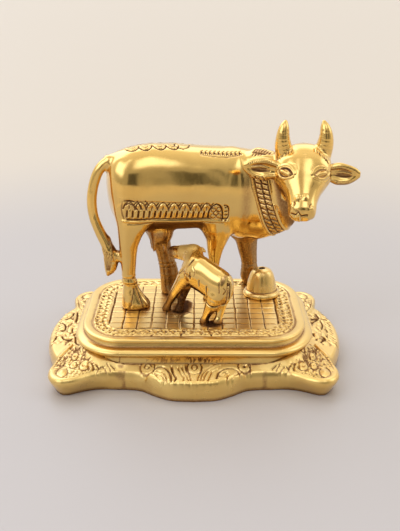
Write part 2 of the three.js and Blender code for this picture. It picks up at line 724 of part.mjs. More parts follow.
function cow() {
  const legs = [NEAR_HIND, FAR_HIND, NEAR_FRONT, FAR_FRONT].map((rows) =>
    form(COW_UP, rows.map(([w, v, half, back, front]) => [w, -v, half, back, front]), 9));
  const ears = [ear(v3(31.6, 0.5, 76.3), v3(-1, 0.04, 0.1)), ear(v3(53, 4, 74.2), v3(1, 0.05, -0.08))];
  const features = [...eye(-1), ...eye(1)];
  const ornament = [...flankBorder(NEAR), ...flankBorder(FAR), ...collar(NEAR), ...collar(FAR)];
  const whole = union([
    form(COW, TRUNK, 18), form(NECK_FRAME, NECK, 16), form(HEAD_FRAME, HEAD, 16), ...legs, ...ears,
    horn(-1, 34.6), horn(1, 51.2), tail(), udder(), ...features, ...ornament,
  ]);
  const cuts = [
    cut([[-3.9, 22], [-2.9, 22.8]], 1.3, 0.7),
    cut([[3.9, 22], [2.9, 22.8]], 1.3, 0.7),
    cut([[-3.6, 26], [-1.6, 25.5], [0, 26.2], [1.6, 25.5], [3.6, 26]], 1, 0.6),
  ];
  return whole.subtract(union(cuts));
}

// The calf stands with her head to the udder.
const CALF_TURN = (140 * Math.PI) / 180;
const CALF_FRAME = makeFrame(v3(10.5, -17.5, PLATE_TOP), v3(Math.cos(CALF_TURN), Math.sin(CALF_TURN), 0), Z);
const CALF_TRUNK = [
  [-4.6, 0, 1.5, 13, 18.5],
  [-3.6, 0, 3.6, 10.5, 20.6],
  [-1.5, 0, 4.7, 9, 21.8],
  [2, 0, 5.2, 8.8, 23],
  [6, 0, 5, 9.8, 24.4],
  [10, 0, 4.7, 11, 25.6],
  [13, 0, 4.4, 11.6, 25.6],
  [16, 0, 3.8, 13, 23.6],
  [18.3, 0, 2.6, 15, 21.5],
];
const CALF_HEAD_FRAME = makeFrame(v3(0.6, -4, 44), v3(-10.1, 6.5, -2), Z);
const CALF_HEAD = [
  [-2.2, 0, 1.8, -3, 1.2],
  [-0.8, 0, 3, -4.4, 2.6],
  [2, 0, 3.5, -4.6, 3.1],
  [5, 0, 3.1, -3.8, 2.9],
  [8, 0, 2.5, -3.1, 2.6],
  [11, 0, 2.3, -2.7, 2.3],
  [12.6, 0, 1.5, -1.8, 1.6],
];

// A calf's leg down to its foot: a tube that ends in a small flared hoof flat on the plate.
function calfLeg(upper, foot) {
  const points = [...upper, [foot, 1.3]];
  const hoof = form(makeFrame(v3(foot.x, foot.y, PLATE_TOP), Z, v3(-1, 0.6, 0)), [
    [0, 0, 1.7, -1.7, 2.2], [0.8, 0, 1.7, -1.6, 2.1], [2.6, 0, 1.2, -1.3, 1.2],
  ], 8);
  return tube(points, 6, 8).add(hoof);
}

function calf() {
  const neck = tube([[v3(1.5, -10.5, 38), 4.8], [v3(0.4, -7, 41.4), 4], [v3(-0.3, -4, 43.6), 3.2]], 4, 10);
  const legs = [
    calfLeg([[v3(-3, -7.5, 35), 3.6], [v3(-6, -6.3, 30.5), 2.4], [v3(-8.8, -5, 25.5), 1.7]],
      v3(-11, -3.6, 20.4)),
    calfLeg([[v3(-2, -5, 34), 3.2], [v3(-3.6, -5, 29), 2.1], [v3(-5, -5.6, 24.5), 1.6]], v3(-5.8, -6, 20.4)),
    calfLeg([[v3(8.6, -18.6, 31), 3.6], [v3(7, -18.2, 27), 2.7], [v3(5.4, -17.4, 23.6), 1.8]],
      v3(4.3, -16.8, 20.4)),
    calfLeg([[v3(11.4, -15.4, 31), 3.2], [v3(10.8, -16.4, 27), 2.2], [v3(10.2, -17.2, 23.6), 1.6]],
      v3(9.4, -18, 20.4)),
  ];
  const ears = [-1, 1].map((s) => tube([
    [place(CALF_HEAD_FRAME, 0.6, s * 2.4, 0.4), 1.1], [place(CALF_HEAD_FRAME, -0.6, s * 3.6, 0), 1],
    [place(CALF_HEAD_FRAME, -1.8, s * 4.2, -1), 0.3],
  ], 3, 6, 0.6));
  const tailEnd = tube([
    [place(CALF_FRAME, -3, 0, 20), 0.9], [place(CALF_FRAME, -4.7, 0.4, 18), 0.8],
    [place(CALF_FRAME, -4.9, 1.2, 13.5), 0.9], [place(CALF_FRAME, -4.2, 1.6, 10.5), 0.5],
  ], 5, 6);
  return union([
    form(CALF_FRAME, CALF_TRUNK, 14), form(CALF_HEAD_FRAME, CALF_HEAD, 12), neck, ...legs, ...ears, tailEnd,
  ]);
}

// Anything that rests on the plate is cut flat on it.
function onPlate(body) {
  const flat = new THREE.BoxGeometry(300, 300, 100);
  flat.translate(0, 0, PLATE_TOP - 50);
  return body.subtract(solid(flat));
}

const BRASS = new THREE.MeshStandardMaterial({ color: 0xc9952f, metalness: 1, roughness: 0.25 });
const SATIN_BRASS = new THREE.MeshStandardMaterial({ color: 0xc9a04a, metalness: 1, roughness: 0.45 });

// A body as a mesh, grown or shrunk on the plate by its share.
function mesh(name, body, material, share = 1) {
  const { vertProperties, triVerts, numProp } = body.asOriginal().simplify(FINEST).getMesh();
  const geometry = new THREE.BufferGeometry();
  const points = [];
  for (let i = 0; i < vertProperties.length; i += numProp) {
    points.push(v3(vertProperties[i], vertProperties[i + 1], vertProperties[i + 2]));
  }
  geometry.setFromPoints(points);
  geometry.setIndex([...triVerts]);
  geometry.translate(0, 0, -PLATE_TOP).scale(share, share, share).translate(0, 0, PLATE_TOP);
  geometry.translate(-(EAR_REACH - BASE_HALF_LENGTH) / 2, 0, 0);
  const made = new THREE.Mesh(geometry, material);
  made.name = name;
  return made;
}

const group = new THREE.Group();
group.add(
  mesh("base", base(), SATIN_BRASS),
  mesh("incense_holder", holder(), BRASS),
  mesh("cow", onPlate(cow()), BRASS, HERD_SHARE),
  mesh("calf", onPlate(calf()), BRASS, HERD_SHARE),
);

export default group;
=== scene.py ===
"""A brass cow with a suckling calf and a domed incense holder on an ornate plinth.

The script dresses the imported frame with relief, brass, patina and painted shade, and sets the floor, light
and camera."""

import math

import bmesh
import bpy
import numpy as np
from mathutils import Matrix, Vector
from mathutils.geometry import delaunay_2d_cdt


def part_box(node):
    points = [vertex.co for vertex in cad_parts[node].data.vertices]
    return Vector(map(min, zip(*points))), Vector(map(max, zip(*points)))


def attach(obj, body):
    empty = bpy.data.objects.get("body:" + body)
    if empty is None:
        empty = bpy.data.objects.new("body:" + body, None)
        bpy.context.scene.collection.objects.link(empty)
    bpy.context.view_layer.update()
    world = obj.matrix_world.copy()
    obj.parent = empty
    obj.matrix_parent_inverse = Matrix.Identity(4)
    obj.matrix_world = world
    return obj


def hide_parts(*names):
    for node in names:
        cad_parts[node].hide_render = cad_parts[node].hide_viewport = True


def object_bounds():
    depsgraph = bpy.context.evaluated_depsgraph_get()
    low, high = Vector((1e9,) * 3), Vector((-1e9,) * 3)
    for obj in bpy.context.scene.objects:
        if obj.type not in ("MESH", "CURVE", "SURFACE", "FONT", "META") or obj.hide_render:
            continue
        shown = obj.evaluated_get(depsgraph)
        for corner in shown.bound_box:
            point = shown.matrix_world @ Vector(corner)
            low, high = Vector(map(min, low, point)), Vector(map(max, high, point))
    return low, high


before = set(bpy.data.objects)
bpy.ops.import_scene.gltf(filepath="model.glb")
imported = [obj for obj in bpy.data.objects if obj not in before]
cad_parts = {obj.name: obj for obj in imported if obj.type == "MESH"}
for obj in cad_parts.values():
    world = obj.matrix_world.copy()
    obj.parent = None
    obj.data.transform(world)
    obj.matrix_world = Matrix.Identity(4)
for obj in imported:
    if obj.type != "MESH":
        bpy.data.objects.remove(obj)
cad_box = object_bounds()

# Lengths are in millimetres, in a frame with the plinth's middle at its origin. to_row() turns them into
# metres in the row's frame.
PLATE_TOP = 19.0
TIER_EDGE = 8.0
WALL = 2.6
LOBE_UNDERCUT = 3.0
# The platform's half length and depth, and the reach of its rounded corners along them.
PLATFORM_HALF = np.array([44.0, 33.0])
CORNER = np.array([16.0, 20.0])
# The power of the superellipse that a body's sections follow, and a distance that stands for far away.
SECTION_POWER = 2 / 0.92
FAR = 60.0

# Where the plinth's middle is in the row's frame.
base_low, base_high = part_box("base")
SHIFT_X = 1000 * (base_low.x + base_high.x) / 2


def to_row(points):
    return (np.asarray(points, float) + (SHIFT_X, 0, 0)) / 1000


def unit(vector):
    vector = np.asarray(vector, float)
    return vector / np.linalg.norm(vector)


def mix(a, b, share):
    return a + (b - a) * share


def between(values, low, high):
    return (values > low) & (values < high)


def ramp(value, start, end):
    """0 before start, 1 after end, smooth between them."""
    share = np.clip((value - start) / (end - start), 0, 1)
    return share * share * (3 - 2 * share)


class Frame:
    """A place with three directions: along, side and up."""

    def __init__(self, origin, along, upward=(0, 0, 1)):
        self.origin = np.array(origin, float)
        self.along = unit(along)
        self.side = unit(np.cross(upward, self.along))
        self.up = unit(np.cross(self.along, self.side))
        self.axes = np.stack([self.along, self.side, self.up])

    def local(self, points):
        return (points - self.origin) @ self.axes.T

    def place(self, local):
        return self.origin + np.asarray(local, float) @ self.axes


def smooth_rows(rows, step=0.25):
    """Smooth curves that never overshoot through the rows' columns, at even steps of the first column."""
    rows = np.array(rows, float)
    x = rows[:, 0]
    gap = np.diff(x)
    fine = np.append(np.arange(x[0], x[-1] - step / 2, step), x[-1])
    k = np.clip(np.searchsorted(x, fine, side="right") - 1, 0, len(gap) - 1)
    s = (fine - x[k]) / gap[k]
    columns = [fine]
    for y in rows[:, 1:].T:
        rise = np.diff(y) / gap
        slope = np.zeros_like(y)
        slope[0], slope[-1] = rise[0], rise[-1]
        for i in range(1, len(y) - 1):
            if rise[i - 1] * rise[i] > 0:
                w1 = 2 * gap[i] + gap[i - 1]
                w2 = gap[i] + 2 * gap[i - 1]
                slope[i] = (w1 + w2) / (w1 / rise[i - 1] + w2 / rise[i])
        columns.append(
            y[k] * (1 + 2 * s) * (1 - s) ** 2
            + slope[k] * gap[k] * s * (1 - s) ** 2
            + y[k + 1] * s * s * (3 - 2 * s)
            + slope[k + 1] * gap[k] * s * s * (s - 1)
        )
    return np.stack(columns, 1)


def smooth_path(points, steps=5):
    """A Catmull-Rom curve through points of any dimension."""
    points = np.asarray(points, float)
    padded = np.vstack([2 * points[0] - points[1], points, 2 * points[-1] - points[-2]])
    out = []
    for i in range(len(points) - 1):
        a, b, c, d = padded[i:i + 4]
        for j in range(steps):
            s = j / steps
            out.append(0.5 * (2 * b + (c - a) * s + (2 * a - 5 * b + 4 * c - d) * s * s
                              + (3 * b - a - 3 * c + d) * s ** 3))
    out.append(points[-1])
    return np.array(out)


class Form:
    """A body with superellipse sections: place, middle to the side, half width, low and high edges."""

    def __init__(self, place, rows):
        self.frame = place
        table = smooth_rows(rows)
        self.t = table[:, 0]
        low, high = table[:, 3], table[:, 4]
        self.columns = [table[:, 1], table[:, 2], (low + high) / 2, (high - low) / 2]
        self.slopes = [np.gradient(column, self.t) for column in self.columns]
        corners = [
            place.place(np.stack([self.t, self.columns[0] + a * self.columns[1],
                                  self.columns[2] + b * self.columns[3]], 1))
            for a in (-1, 1) for b in (-1, 1)
        ]
        self.low = np.min([c.min(0) for c in corners], axis=0)
        self.high = np.max([c.max(0) for c in corners], axis=0)

    def distance(self, points):
        t, s, u = self.frame.local(points).T
        at = np.clip(t, self.t[0], self.t[-1])
        middle, half, centre, rise = [np.interp(at, self.t, column) for column in self.columns]
        lean = [np.interp(at, self.t, column) for column in self.slopes]
        x = (s - middle) / half
        y = (u - centre) / rise
        k = (np.abs(x) ** SECTION_POWER + np.abs(y) ** SECTION_POWER) ** (1 / SECTION_POWER)
        k = np.maximum(k, 1e-6)
        kx = np.sign(x) * (np.abs(x) / k) ** (SECTION_POWER - 1)
        ky = np.sign(y) * (np.abs(y) / k) ** (SECTION_POWER - 1)
        kt = kx * (-lean[0] - x * lean[1]) / half + ky * (-lean[2] - y * lean[3]) / rise
        across = (k - 1) / np.sqrt((kx / half) ** 2 + (ky / rise) ** 2 + kt ** 2)
        beyond = np.abs(t - at)
        return np.where(beyond > 0, np.hypot(beyond, np.maximum(across, 0)), across)


class Tube:
    """A round body along a smooth path of x, y, z and radius, in the frame given."""

    def __init__(self, stations, steps=4, place=None):
        path = smooth_path(stations, steps)
        self.centres = path[:, :3] if place is None else place.place(path[:, :3])
        self.radii = path[:, 3]
        self.low = (self.centres - self.radii[:, None]).min(0)
        self.high = (self.centres + self.radii[:, None]).max(0)

    def distance(self, points):
        best = np.full(len(points), FAR)
        for i in range(len(self.centres) - 1):
            a, b = self.centres[i:i + 2]
            line = b - a
            share = np.clip((points - a) @ line / (line @ line), 0, 1)
            gap = np.linalg.norm(points - a - share[:, None] * line, axis=1)
            best = np.minimum(best, gap - mix(self.radii[i], self.radii[i + 1], share))
        return best


def melt(a, b, width):
    """The smaller of two distances, rounded where they meet."""
    share = np.clip(0.5 + 0.5 * (b - a) / width, 0, 1)
    return mix(b, a, share) - width * share * (1 - share)


class Casting:
    """Forms melted together over a flat foot, some of them cut out again."""

    # How far outside its box a part is still felt.
    MARGIN = 4.5

    def __init__(self, floor=PLATE_TOP):
        self.floor = floor
        self.parts = []

    def add(self, part, blend):
        self.parts.append((part, blend, 1))

    def carve(self, part, blend):
        self.parts.append((part, blend, -1))

    def distance(self, points):
        total = np.full(len(points), FAR)
        for part, blend, sign in self.parts:
            near = np.flatnonzero(
                np.all((points > part.low - self.MARGIN) & (points < part.high + self.MARGIN), axis=1)
            )
            if len(near) == 0:
                continue
            total[near] = sign * melt(sign * total[near], part.distance(points[near]), blend)
        return np.maximum(total, self.floor - points[:, 2])

    def box(self):
        grown = [part for part, _, sign in self.parts if sign > 0]
        low = np.min([part.low for part in grown], axis=0)
        high = np.max([part.high for part in grown], axis=0)
        low[2] = self.floor
        return low, high

    def slope(self, points, reach=0.04):
        """The gradient and the distance at each point."""
        corners = np.array([(1, -1, -1), (-1, -1, 1), (-1, 1, -1), (1, 1, 1)], float)
        values = [self.distance(points + corner * reach) for corner in corners]
        gradient = sum(value[:, None] * corner for value, corner in zip(values, corners)) / (4 * reach)
        return gradient, sum(values) / 4

    def project(self, points, rounds=3):
        for _ in range(rounds):
            gradient, distance = self.slope(points)
            size = np.maximum(np.linalg.norm(gradient, axis=1), 0.3)
            step = np.clip(distance / size, -0.6, 0.6) / size
            points = points - gradient * step[:, None]
        return points

    def normals(self, points):
        gradient, _ = self.slope(points)
        return gradient / np.maximum(np.linalg.norm(gradient, axis=1), 1e-6)[:, None]


def path_distance(spots, path):
    """How far each spot is from a path of straight steps."""
    if len(path) == 1:
        return np.linalg.norm(spots - path[0], axis=1)
    best = np.full(len(spots), FAR)
    for a, b in zip(path[:-1], path[1:]):
        line = b - a
        share = np.clip((spots - a) @ line / max(line @ line, 1e-9), 0, 1)
        best = np.minimum(best, np.linalg.norm(spots - a - share[:, None] * line, axis=1))
    return best


class Engraving:
    """Strokes painted over flat coordinates: each sets how far the surface stands out and how dark it is.

    On a surface that is seen at a slant, squash says how many times longer in y a round mark has to be."""

    def __init__(self, flat, height=0.0, dark=0.0, squash=1.0):
        self.scale = np.array([1, 1 / squash])
        self.flat = np.asarray(flat, float) * self.scale
        self.height = np.full(len(self.flat), float(height))
        self.dark = np.full(len(self.flat), float(dark))

    def mirror(self, sx, sy):
        """Mirrors the places of all later strokes in x, in y or in both."""
        self.scale = np.abs(self.scale) * (sx, sy)

    def paint(self, chosen, cover, height, dark):
        if height is not None:
            self.height[chosen] = mix(self.height[chosen], height, cover)
        if dark is not None:
            self.dark[chosen] = mix(self.dark[chosen], dark, cover)

    def trace(self, path, width, height, dark, edge):
        middle = (path.min(0) + path.max(0)) / 2
        half = (path.max(0) - path.min(0)) / 2
        near = np.flatnonzero(np.all(np.abs(self.flat - middle) < half + width, axis=1))
        if len(near):
            gap = path_distance(self.flat[near], path)
            self.paint(near, ramp(1 - gap / width, 0, edge), height, dark)

    def stroke(self, path, width, height=None, dark=None, edge=1.0):
        """Paints along a path to width each side; edge is the share of it over which the paint fades."""
        self.trace(np.atleast_2d(np.asarray(path, float)) * self.scale, width, height, dark, edge)

    def curve(self, points, width, height=None, dark=None, edge=1.0):
        self.stroke(smooth_path(points, 6), width, height, dark, edge)

    def spiral(self, centre, radius, turns, start, hand, width, height, dark, close=0.45):
        """Winds from radius in to close. Only its centre is mirrored: hand says which way it turns."""
        share = np.linspace(0, 1, int(18 * turns) + 6)
        turn = start + hand * turns * 2 * math.pi * share
        path = np.stack([np.cos(turn), np.sin(turn)], 1) * mix(radius, close, share)[:, None]
        self.trace(path + np.array(centre) * self.scale, width, height, dark, 0.8)

    def ring(self, centre, radius, width, height=None, dark=None):
        self.spiral(centre, radius, 1, 0, 1, width, height, dark, radius)

    def patch(self, centre, radii, height=None, dark=None, edge=0.6):
        spots = (self.flat - np.array(centre) * self.scale) / (np.atleast_1d(radii) * np.ones(2))
        gap = np.linalg.norm(spots, axis=1)
        near = np.flatnonzero(gap < 1)
        self.paint(near, ramp(1 - gap[near], 0, edge), height, dark)

    def groove(self, points, width=0.42, depth=0.35, dark=0.75):
        """A dark smooth cut."""
        self.curve(points, width, -depth, dark, 0.75)


def ripple(points, size, seed, waves=7):
    """Smooth irregular values from about -1 to 1 that change over about size."""
    chance = np.random.default_rng(seed)
    total = np.zeros(len(points))
    for _ in range(waves):
        way = unit(chance.normal(size=points.shape[1]))
        length = size * chance.uniform(0.7, 1.6)
        total += np.sin(points @ way * 2 * math.pi / length + chance.uniform(0, 6.28))
    return total / math.sqrt(waves) / 1.4


def surface_net(casting, cell):
    """Quads close to the casting's surface, one corner in each cell that the surface crosses."""
    low, high = casting.box()
    axes = [np.arange(low[i] - 2.5 * cell, high[i] + 2.5 * cell, cell) for i in range(3)]
    shape = tuple(len(axis) for axis in axes)
    grid = np.stack(np.meshgrid(*axes, indexing="ij"), -1).reshape(-1, 3)
    value = casting.distance(grid).reshape(shape)
    origin = np.array([axis[0] for axis in axes])
    total = np.prod(shape)
    sums = np.zeros((total, 3))
    counts = np.zeros(total)
    quads = []
    flat = np.arange(total).reshape(shape)
    for axis in range(3):
        start = np.take(value, range(shape[axis] - 1), axis)
        end = np.take(value, range(1, shape[axis]), axis)
        index = np.argwhere((start < 0) != (end < 0))
        a = start[tuple(index.T)]
        b = end[tuple(index.T)]
        place = origin + index * cell
        place[:, axis] += a / (a - b) * cell
        others = [i for i in range(3) if i != axis]
        around = []
        for back in ((0, 0), (1, 0), (1, 1), (0, 1)):
            cell_index = index.copy()
            cell_index[:, others[0]] -= back[0]
            cell_index[:, others[1]] -= back[1]
            around.append(flat[tuple(cell_index.T)])
        for column in around:
            counts += np.bincount(column, minlength=total)
            for i in range(3):
                sums[:, i] += np.bincount(column, place[:, i], total)
        quad = np.stack(around, 1)
        turned = (a > 0) != (axis == 1)
        quad[turned] = quad[turned][:, ::-1]
        quads.append(quad)
    quads = np.vstack(quads)
    used = np.flatnonzero(counts)
    renumber = np.zeros(total, int)
    renumber[used] = np.arange(len(used))
    return sums[used] / counts[used][:, None], renumber[quads]


def relax(points, quads, rounds=2):
    """Evens out the quads by moving each corner towards its neighbours."""
    edges = np.vstack([quads[:, [i, (i + 1) % 4]] for i in range(4)])
    edges = np.unique(np.sort(edges, 1), axis=0)
    degree = np.bincount(edges.ravel(), minlength=len(points))[:, None]
    for _ in range(rounds):
        sums = np.zeros_like(points)
        for i in range(3):
            sums[:, i] += np.bincount(edges[:, 0], points[edges[:, 1], i], len(points))
            sums[:, i] += np.bincount(edges[:, 1], points[edges[:, 0], i], len(points))
        points = mix(points, sums / degree, 0.5)
    return points


def read(items, field):
    """A field of a mesh's vertices or polygons that holds a place, such as co or center."""
    flat = np.empty(len(items) * 3, np.float32)
    items.foreach_get(field, flat)
    return flat.reshape(-1, 3).astype(float)


def set_points(mesh, points):
    mesh.vertices.foreach_set("co", np.asarray(points, np.float32).ravel())
    mesh.update()


def refine(mesh, chosen):
    """Splits each chosen face into four, and fits its neighbours to it."""
    work = bmesh.new()
    work.from_mesh(mesh)
    marked = {edge for face, keep in zip(work.faces, chosen) if keep for edge in face.edges}
    edges = [edge for edge in work.edges if edge in marked]
    bmesh.ops.subdivide_edges(work, edges=edges, cuts=1, use_grid_fill=True)
    work.to_mesh(mesh)
    work.free()


def cast_mesh(name, casting, cell, regions):
    """A mesh of the casting, finer where a region's test is true, once for each region given."""
    points, quads = surface_net(casting, cell)
    points = casting.project(relax(points, quads))
    mesh = bpy.data.meshes.new(name)
    mesh.from_pydata(points.tolist(), [], quads.tolist())
    for region in regions:
        refine(mesh, region(read(mesh.polygons, "center")))
        set_points(mesh, casting.project(read(mesh.vertices, "co"), 2))
    return mesh


def add_piece(name, mesh, patina_and_shade, node, slot, material):
    """A piece that stands for a node of the frame, with its patina and painted shade kept in its points."""
    attribute = mesh.attributes.new("patina_and_shade", "FLOAT", "POINT")
    attribute.data.foreach_set("value", np.clip(patina_and_shade, -1, 1).astype(np.float32))
    set_points(mesh, np.clip(to_row(read(mesh.vertices, "co")), *np.array(cad_box)))
    mesh.polygons.foreach_set("use_smooth", np.ones(len(mesh.polygons), bool))
    mesh.validate()
    piece = bpy.data.objects.new(name, mesh)
    bpy.context.scene.collection.objects.link(piece)
    mesh.materials.append(material)
    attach(piece, "root")
    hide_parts(node)


# The cow's forms. A form's row holds its place along the frame, its middle to the side, its half width, and
# its low and high edges. A tube's row holds x, y, z and the radius.
COW_TURN = math.radians(15)
COW_MIDDLE = (-1.3, 12.8, PLATE_TOP)
COW_FORWARD = (math.cos(COW_TURN), math.sin(COW_TURN), 0)
COW = Frame(COW_MIDDLE, COW_FORWARD)
COW_UP = Frame(COW_MIDDLE, (0, 0, 1), COW_FORWARD)
NECK_FRAME = Frame((16.1, 17.5, PLATE_TOP), (math.cos(-0.52), math.sin(-0.52), 0))
HEAD_FRAME = Frame((42.9, 3, 81.2), (-0.075, -0.67, -0.74))

TRUNK = [
    (-34.2, 0, 2.2, 47.5, 55), (-33.7, 0, 5.6, 43, 58.6), (-32.4, 0, 8.4, 38, 61.2),
    (-29.5, 0, 10.7, 33.8, 63.4), (-24, 0, 12.2, 31.5, 65.1), (-16, 0, 13, 30.7, 66),
    (-8, 0, 13.4, 30.5, 65.7), (0, 0, 13.5, 30.3, 64.7), (8, 0, 13.3, 30, 63.8),
    (14, 0, 12.8, 28.6, 63.2), (18, 0, 11.5, 26.4, 62.4), (20.5, 0, 9.8, 25, 61.4),
    (24, 0, 8.4, 25, 60.6), (27, 0, 5, 28, 58),
]
NECK = [
    (0, 0, 8.6, 27, 61), (6, 0, 8.9, 26, 61.8), (11, 0, 8.5, 26, 63.3), (16, 0, 8, 27.2, 63),
    (21, 0, 7.6, 29.4, 62.2), (26, -0.6, 7, 32.6, 62), (30, -1.2, 5.4, 38, 60),
]
HEAD = [
    (-6, 0, 4.5, -6, 0.2), (-3.6, 0, 8.6, -8, 2.6), (0, 0, 10.4, -9, 4.2), (4, 0, 10.9, -9.4, 5.1),
    (8.5, 0, 10.8, -9.4, 5), (12, 0, 9, -9, 4.4), (16, 0, 6.8, -8, 3.7), (20, 0, 5.7, -6.8, 3.2),
    (23.5, 0, 5.4, -6, 2.9), (25.4, 0, 4.8, -4.8, 1.8), (26.6, 0, 3, -3.4, 0.4),
]
# Each leg from the hoof up: height, middle to the side, half thickness, back edge and front edge.
NEAR_HIND = [
    (0, -6.6, 4.5, -30.6, -19.6), (1, -6.6, 4.7, -31, -19.2), (5.8, -6.6, 3.7, -30.6, -22.2),
    (10.2, -6.6, 2.8, -30.2, -24.4), (11.6, -6.6, 3.2, -30.8, -24.5), (13.2, -6.6, 2.8, -30.6, -25.1),
    (19, -6.7, 3.1, -30.9, -24.8), (25, -6.9, 3.7, -31.4, -24.1), (30, -7, 4.4, -31.6, -22.4),
    (35, -7, 5, -32, -19.2), (40, -6.6, 4.9, -32.4, -17), (47, -5.6, 4.4, -31.5, -17),
]
FAR_HIND = [
    (0, 5.5, 4.2, -11.4, -2.8), (1, 5.5, 4.4, -11.8, -2.4), (5, 5.5, 3.3, -12, -4.6),
    (8.5, 5.5, 3.4, -12.2, -4.4), (12, 5.5, 3.2, -12.6, -5), (18.5, 5.6, 3.3, -13.9, -7.2),
    (26, 5.8, 4.2, -17.2, -7.8), (33, 6.2, 5, -21, -7), (40, 6.4, 4.8, -26, -7), (47, 5.6, 4.4, -26, -8),
]
NEAR_FRONT = [
    (0, -5.8, 4, 3.8, 13.4), (1, -5.8, 4.2, 3.5, 13.8), (6, -5.8, 3.2, 5, 11.8),
    (10.5, -5.8, 2.4, 6, 10.6), (12, -5.8, 2.8, 5.8, 10.9), (14, -5.8, 2.4, 6.4, 10.4),
    (20, -6, 2.9, 5.5, 11.5), (26, -6.3, 3.6, 4.7, 14), (31, -6.5, 4.4, 2.6, 16.8),
    (38, -6.4, 5, 1.5, 18.4), (46, -5.6, 4.8, 2, 18),
]
FAR_FRONT = [
    (0, 6.7, 4.1, 25.2, 33.6), (1, 6.7, 4.3, 25, 34), (4, 6.7, 3.4, 24, 32.4),
    (6.5, 6.7, 3.2, 24.1, 31.4), (8.5, 6.7, 3.5, 24.4, 31.3), (10.5, 6.7, 3.1, 24.2, 31.1),
    (15.4, 6.7, 3.3, 22.9, 31), (20, 6.5, 3.8, 21.4, 31), (24, 5.4, 4.6, 18, 33),
    (31, 4.2, 5, 16, 33.6), (40, 3.4, 5.2, 14, 32), (50, 2.6, 4.6, 12, 28),
]
EAR = [
    (-2, 0, 1.8, -3, 3), (1, 0, 1.9, -3.6, 3.9), (4, 0, 1.9, -4.5, 4.5), (7.5, 0, 1.7, -4.2, 3.9),
    (10.5, 0, 1.3, -2.8, 2.9), (12.6, 0, 0.9, -1, 1.5),
]
EAR_FRAMES = [
    Frame((31.6, 0.5, 76.3), (-1, 0.04, 0.1)),
    Frame((53, 4, 74.2), (1, 0.05, -0.08)),
]
TAIL = [
    (-29.5, 4.8, 79.8, 2.3), (-33.8, 4.2, 78.8, 2.2), (-37.4, 3.6, 75.4, 2.1), (-39.7, 3, 69.5, 2),
    (-40.6, 2.4, 63, 2), (-39.9, 1.8, 56.6, 2), (-37.8, 1.2, 51, 2.1), (-35.2, 0.7, 45.6, 2.4),
    (-33.6, 0.3, 40.6, 3), (-33.8, 0, 36.4, 2.5), (-35, 0, 33, 0.7),
]
TAIL_WEB = [(-33, 0, 42.5, 1.5), (-31.2, -0.4, 41.5, 1.6), (-29.5, -0.8, 40.5, 1.7)]
UDDER = (-13.4, -1.6)
UDDER_ROWS = [(24.8, 1.6, 1.8), (25.6, 3.2, 3.6), (28, 4.4, 5), (32, 5, 5.8)]
# How far below its root a teat is how thick.
TEAT = [(0, 1.25), (2.2, 1.1), (4.2, 0.75)]
HORNS = [(-1, 34.6), (1, 51.2)]


def horn_path(sx, x):
    """A horn that rises from the head a little outward, and leans in again to its tip."""
    return [
        (x - 2 * sx, 5, 79, 4), (x - 0.3 * sx, 4.3, 84.5, 3.4), (x + 0.1 * sx, 3.8, 88.8, 2.7),
        (x - 0.3 * sx, 4.2, 92, 2), (x - 0.9 * sx, 4.8, 94.4, 0.75),
    ]


def leg(rows):
    return Form(COW_UP, [(w, -v, half, back, front) for w, v, half, back, front in rows])


def cow_casting():
    cow = Casting()
    cow.add(Form(COW, TRUNK), 1)
    cow.add(Form(NECK_FRAME, NECK), 5)
    for rows in (NEAR_HIND, FAR_HIND, NEAR_FRONT, FAR_FRONT):
        cow.add(leg(rows), 2.2)
    u, v = UDDER
    cow.add(Form(COW_UP, [(w, -v, half, u - deep, u + deep) for w, half, deep in UDDER_ROWS]), 1.2)
    for du in (-3, 1.6):
        for dv in (-2.2, 1.6):
            top = COW.place((u + du, v + dv, 27))
            teat = [(*(top - (0, 0, drop)), radius) for drop, radius in TEAT]
            cow.add(Tube(teat), 0.5)
    cow.add(Tube(TAIL), 1.5)
    cow.add(Tube(TAIL_WEB), 1)
    cow.add(Form(HEAD_FRAME, HEAD), 2)
    for place in EAR_FRAMES:
        cow.add(Form(place, EAR), 0.8)
        front = 1.9 if place.side[1] < 0 else -1.9
        inside = [(0.76 * t + 1.4, front, 0.8 * half, 0.6 * low, 0.6 * high) for t, _, half, low, high in EAR]
        cow.carve(Form(place, inside), 0.5)
    for sx, x in HORNS:
        cow.add(Tube(horn_path(sx, x)), 0.8)
    return cow


# The calf's forms.
CALF_TURN = math.radians(140)
CALF_FRAME = Frame((10.5, -17.5, PLATE_TOP), (math.cos(CALF_TURN), math.sin(CALF_TURN), 0))
CALF_HEAD_FRAME = Frame((0.6, -4, 44), (-10.1, 6.5, -2))
CALF_TRUNK = [
    (-4.6, 0, 1.5, 13, 18.5), (-3.6, 0, 3.6, 10.5, 20.6), (-1.5, 0, 4.7, 9, 21.8), (2, 0, 5.2, 8.8, 23),
    (6, 0, 5, 9.8, 24.4), (10, 0, 4.7, 11, 25.6), (13, 0, 4.4, 11.6, 25.6), (16, 0, 3.8, 13, 23.6),
    (18.3, 0, 2.6, 15, 21.5),
]
CALF_HEAD = [
    (-2.2, 0, 1.8, -3, 1.2), (-0.8, 0, 3, -4.4, 2.6), (2, 0, 3.5, -4.6, 3.1), (5, 0, 3.1, -3.8, 2.9),
    (8, 0, 2.5, -3.1, 2.6), (11, 0, 2.3, -2.7, 2.3), (12.6, 0, 1.5, -1.8, 1.6),
]
CALF_NECK = [(1.5, -10.5, 38, 4.8), (0.4, -7, 41.4, 4), (-0.3, -4, 43.6, 3.2)]
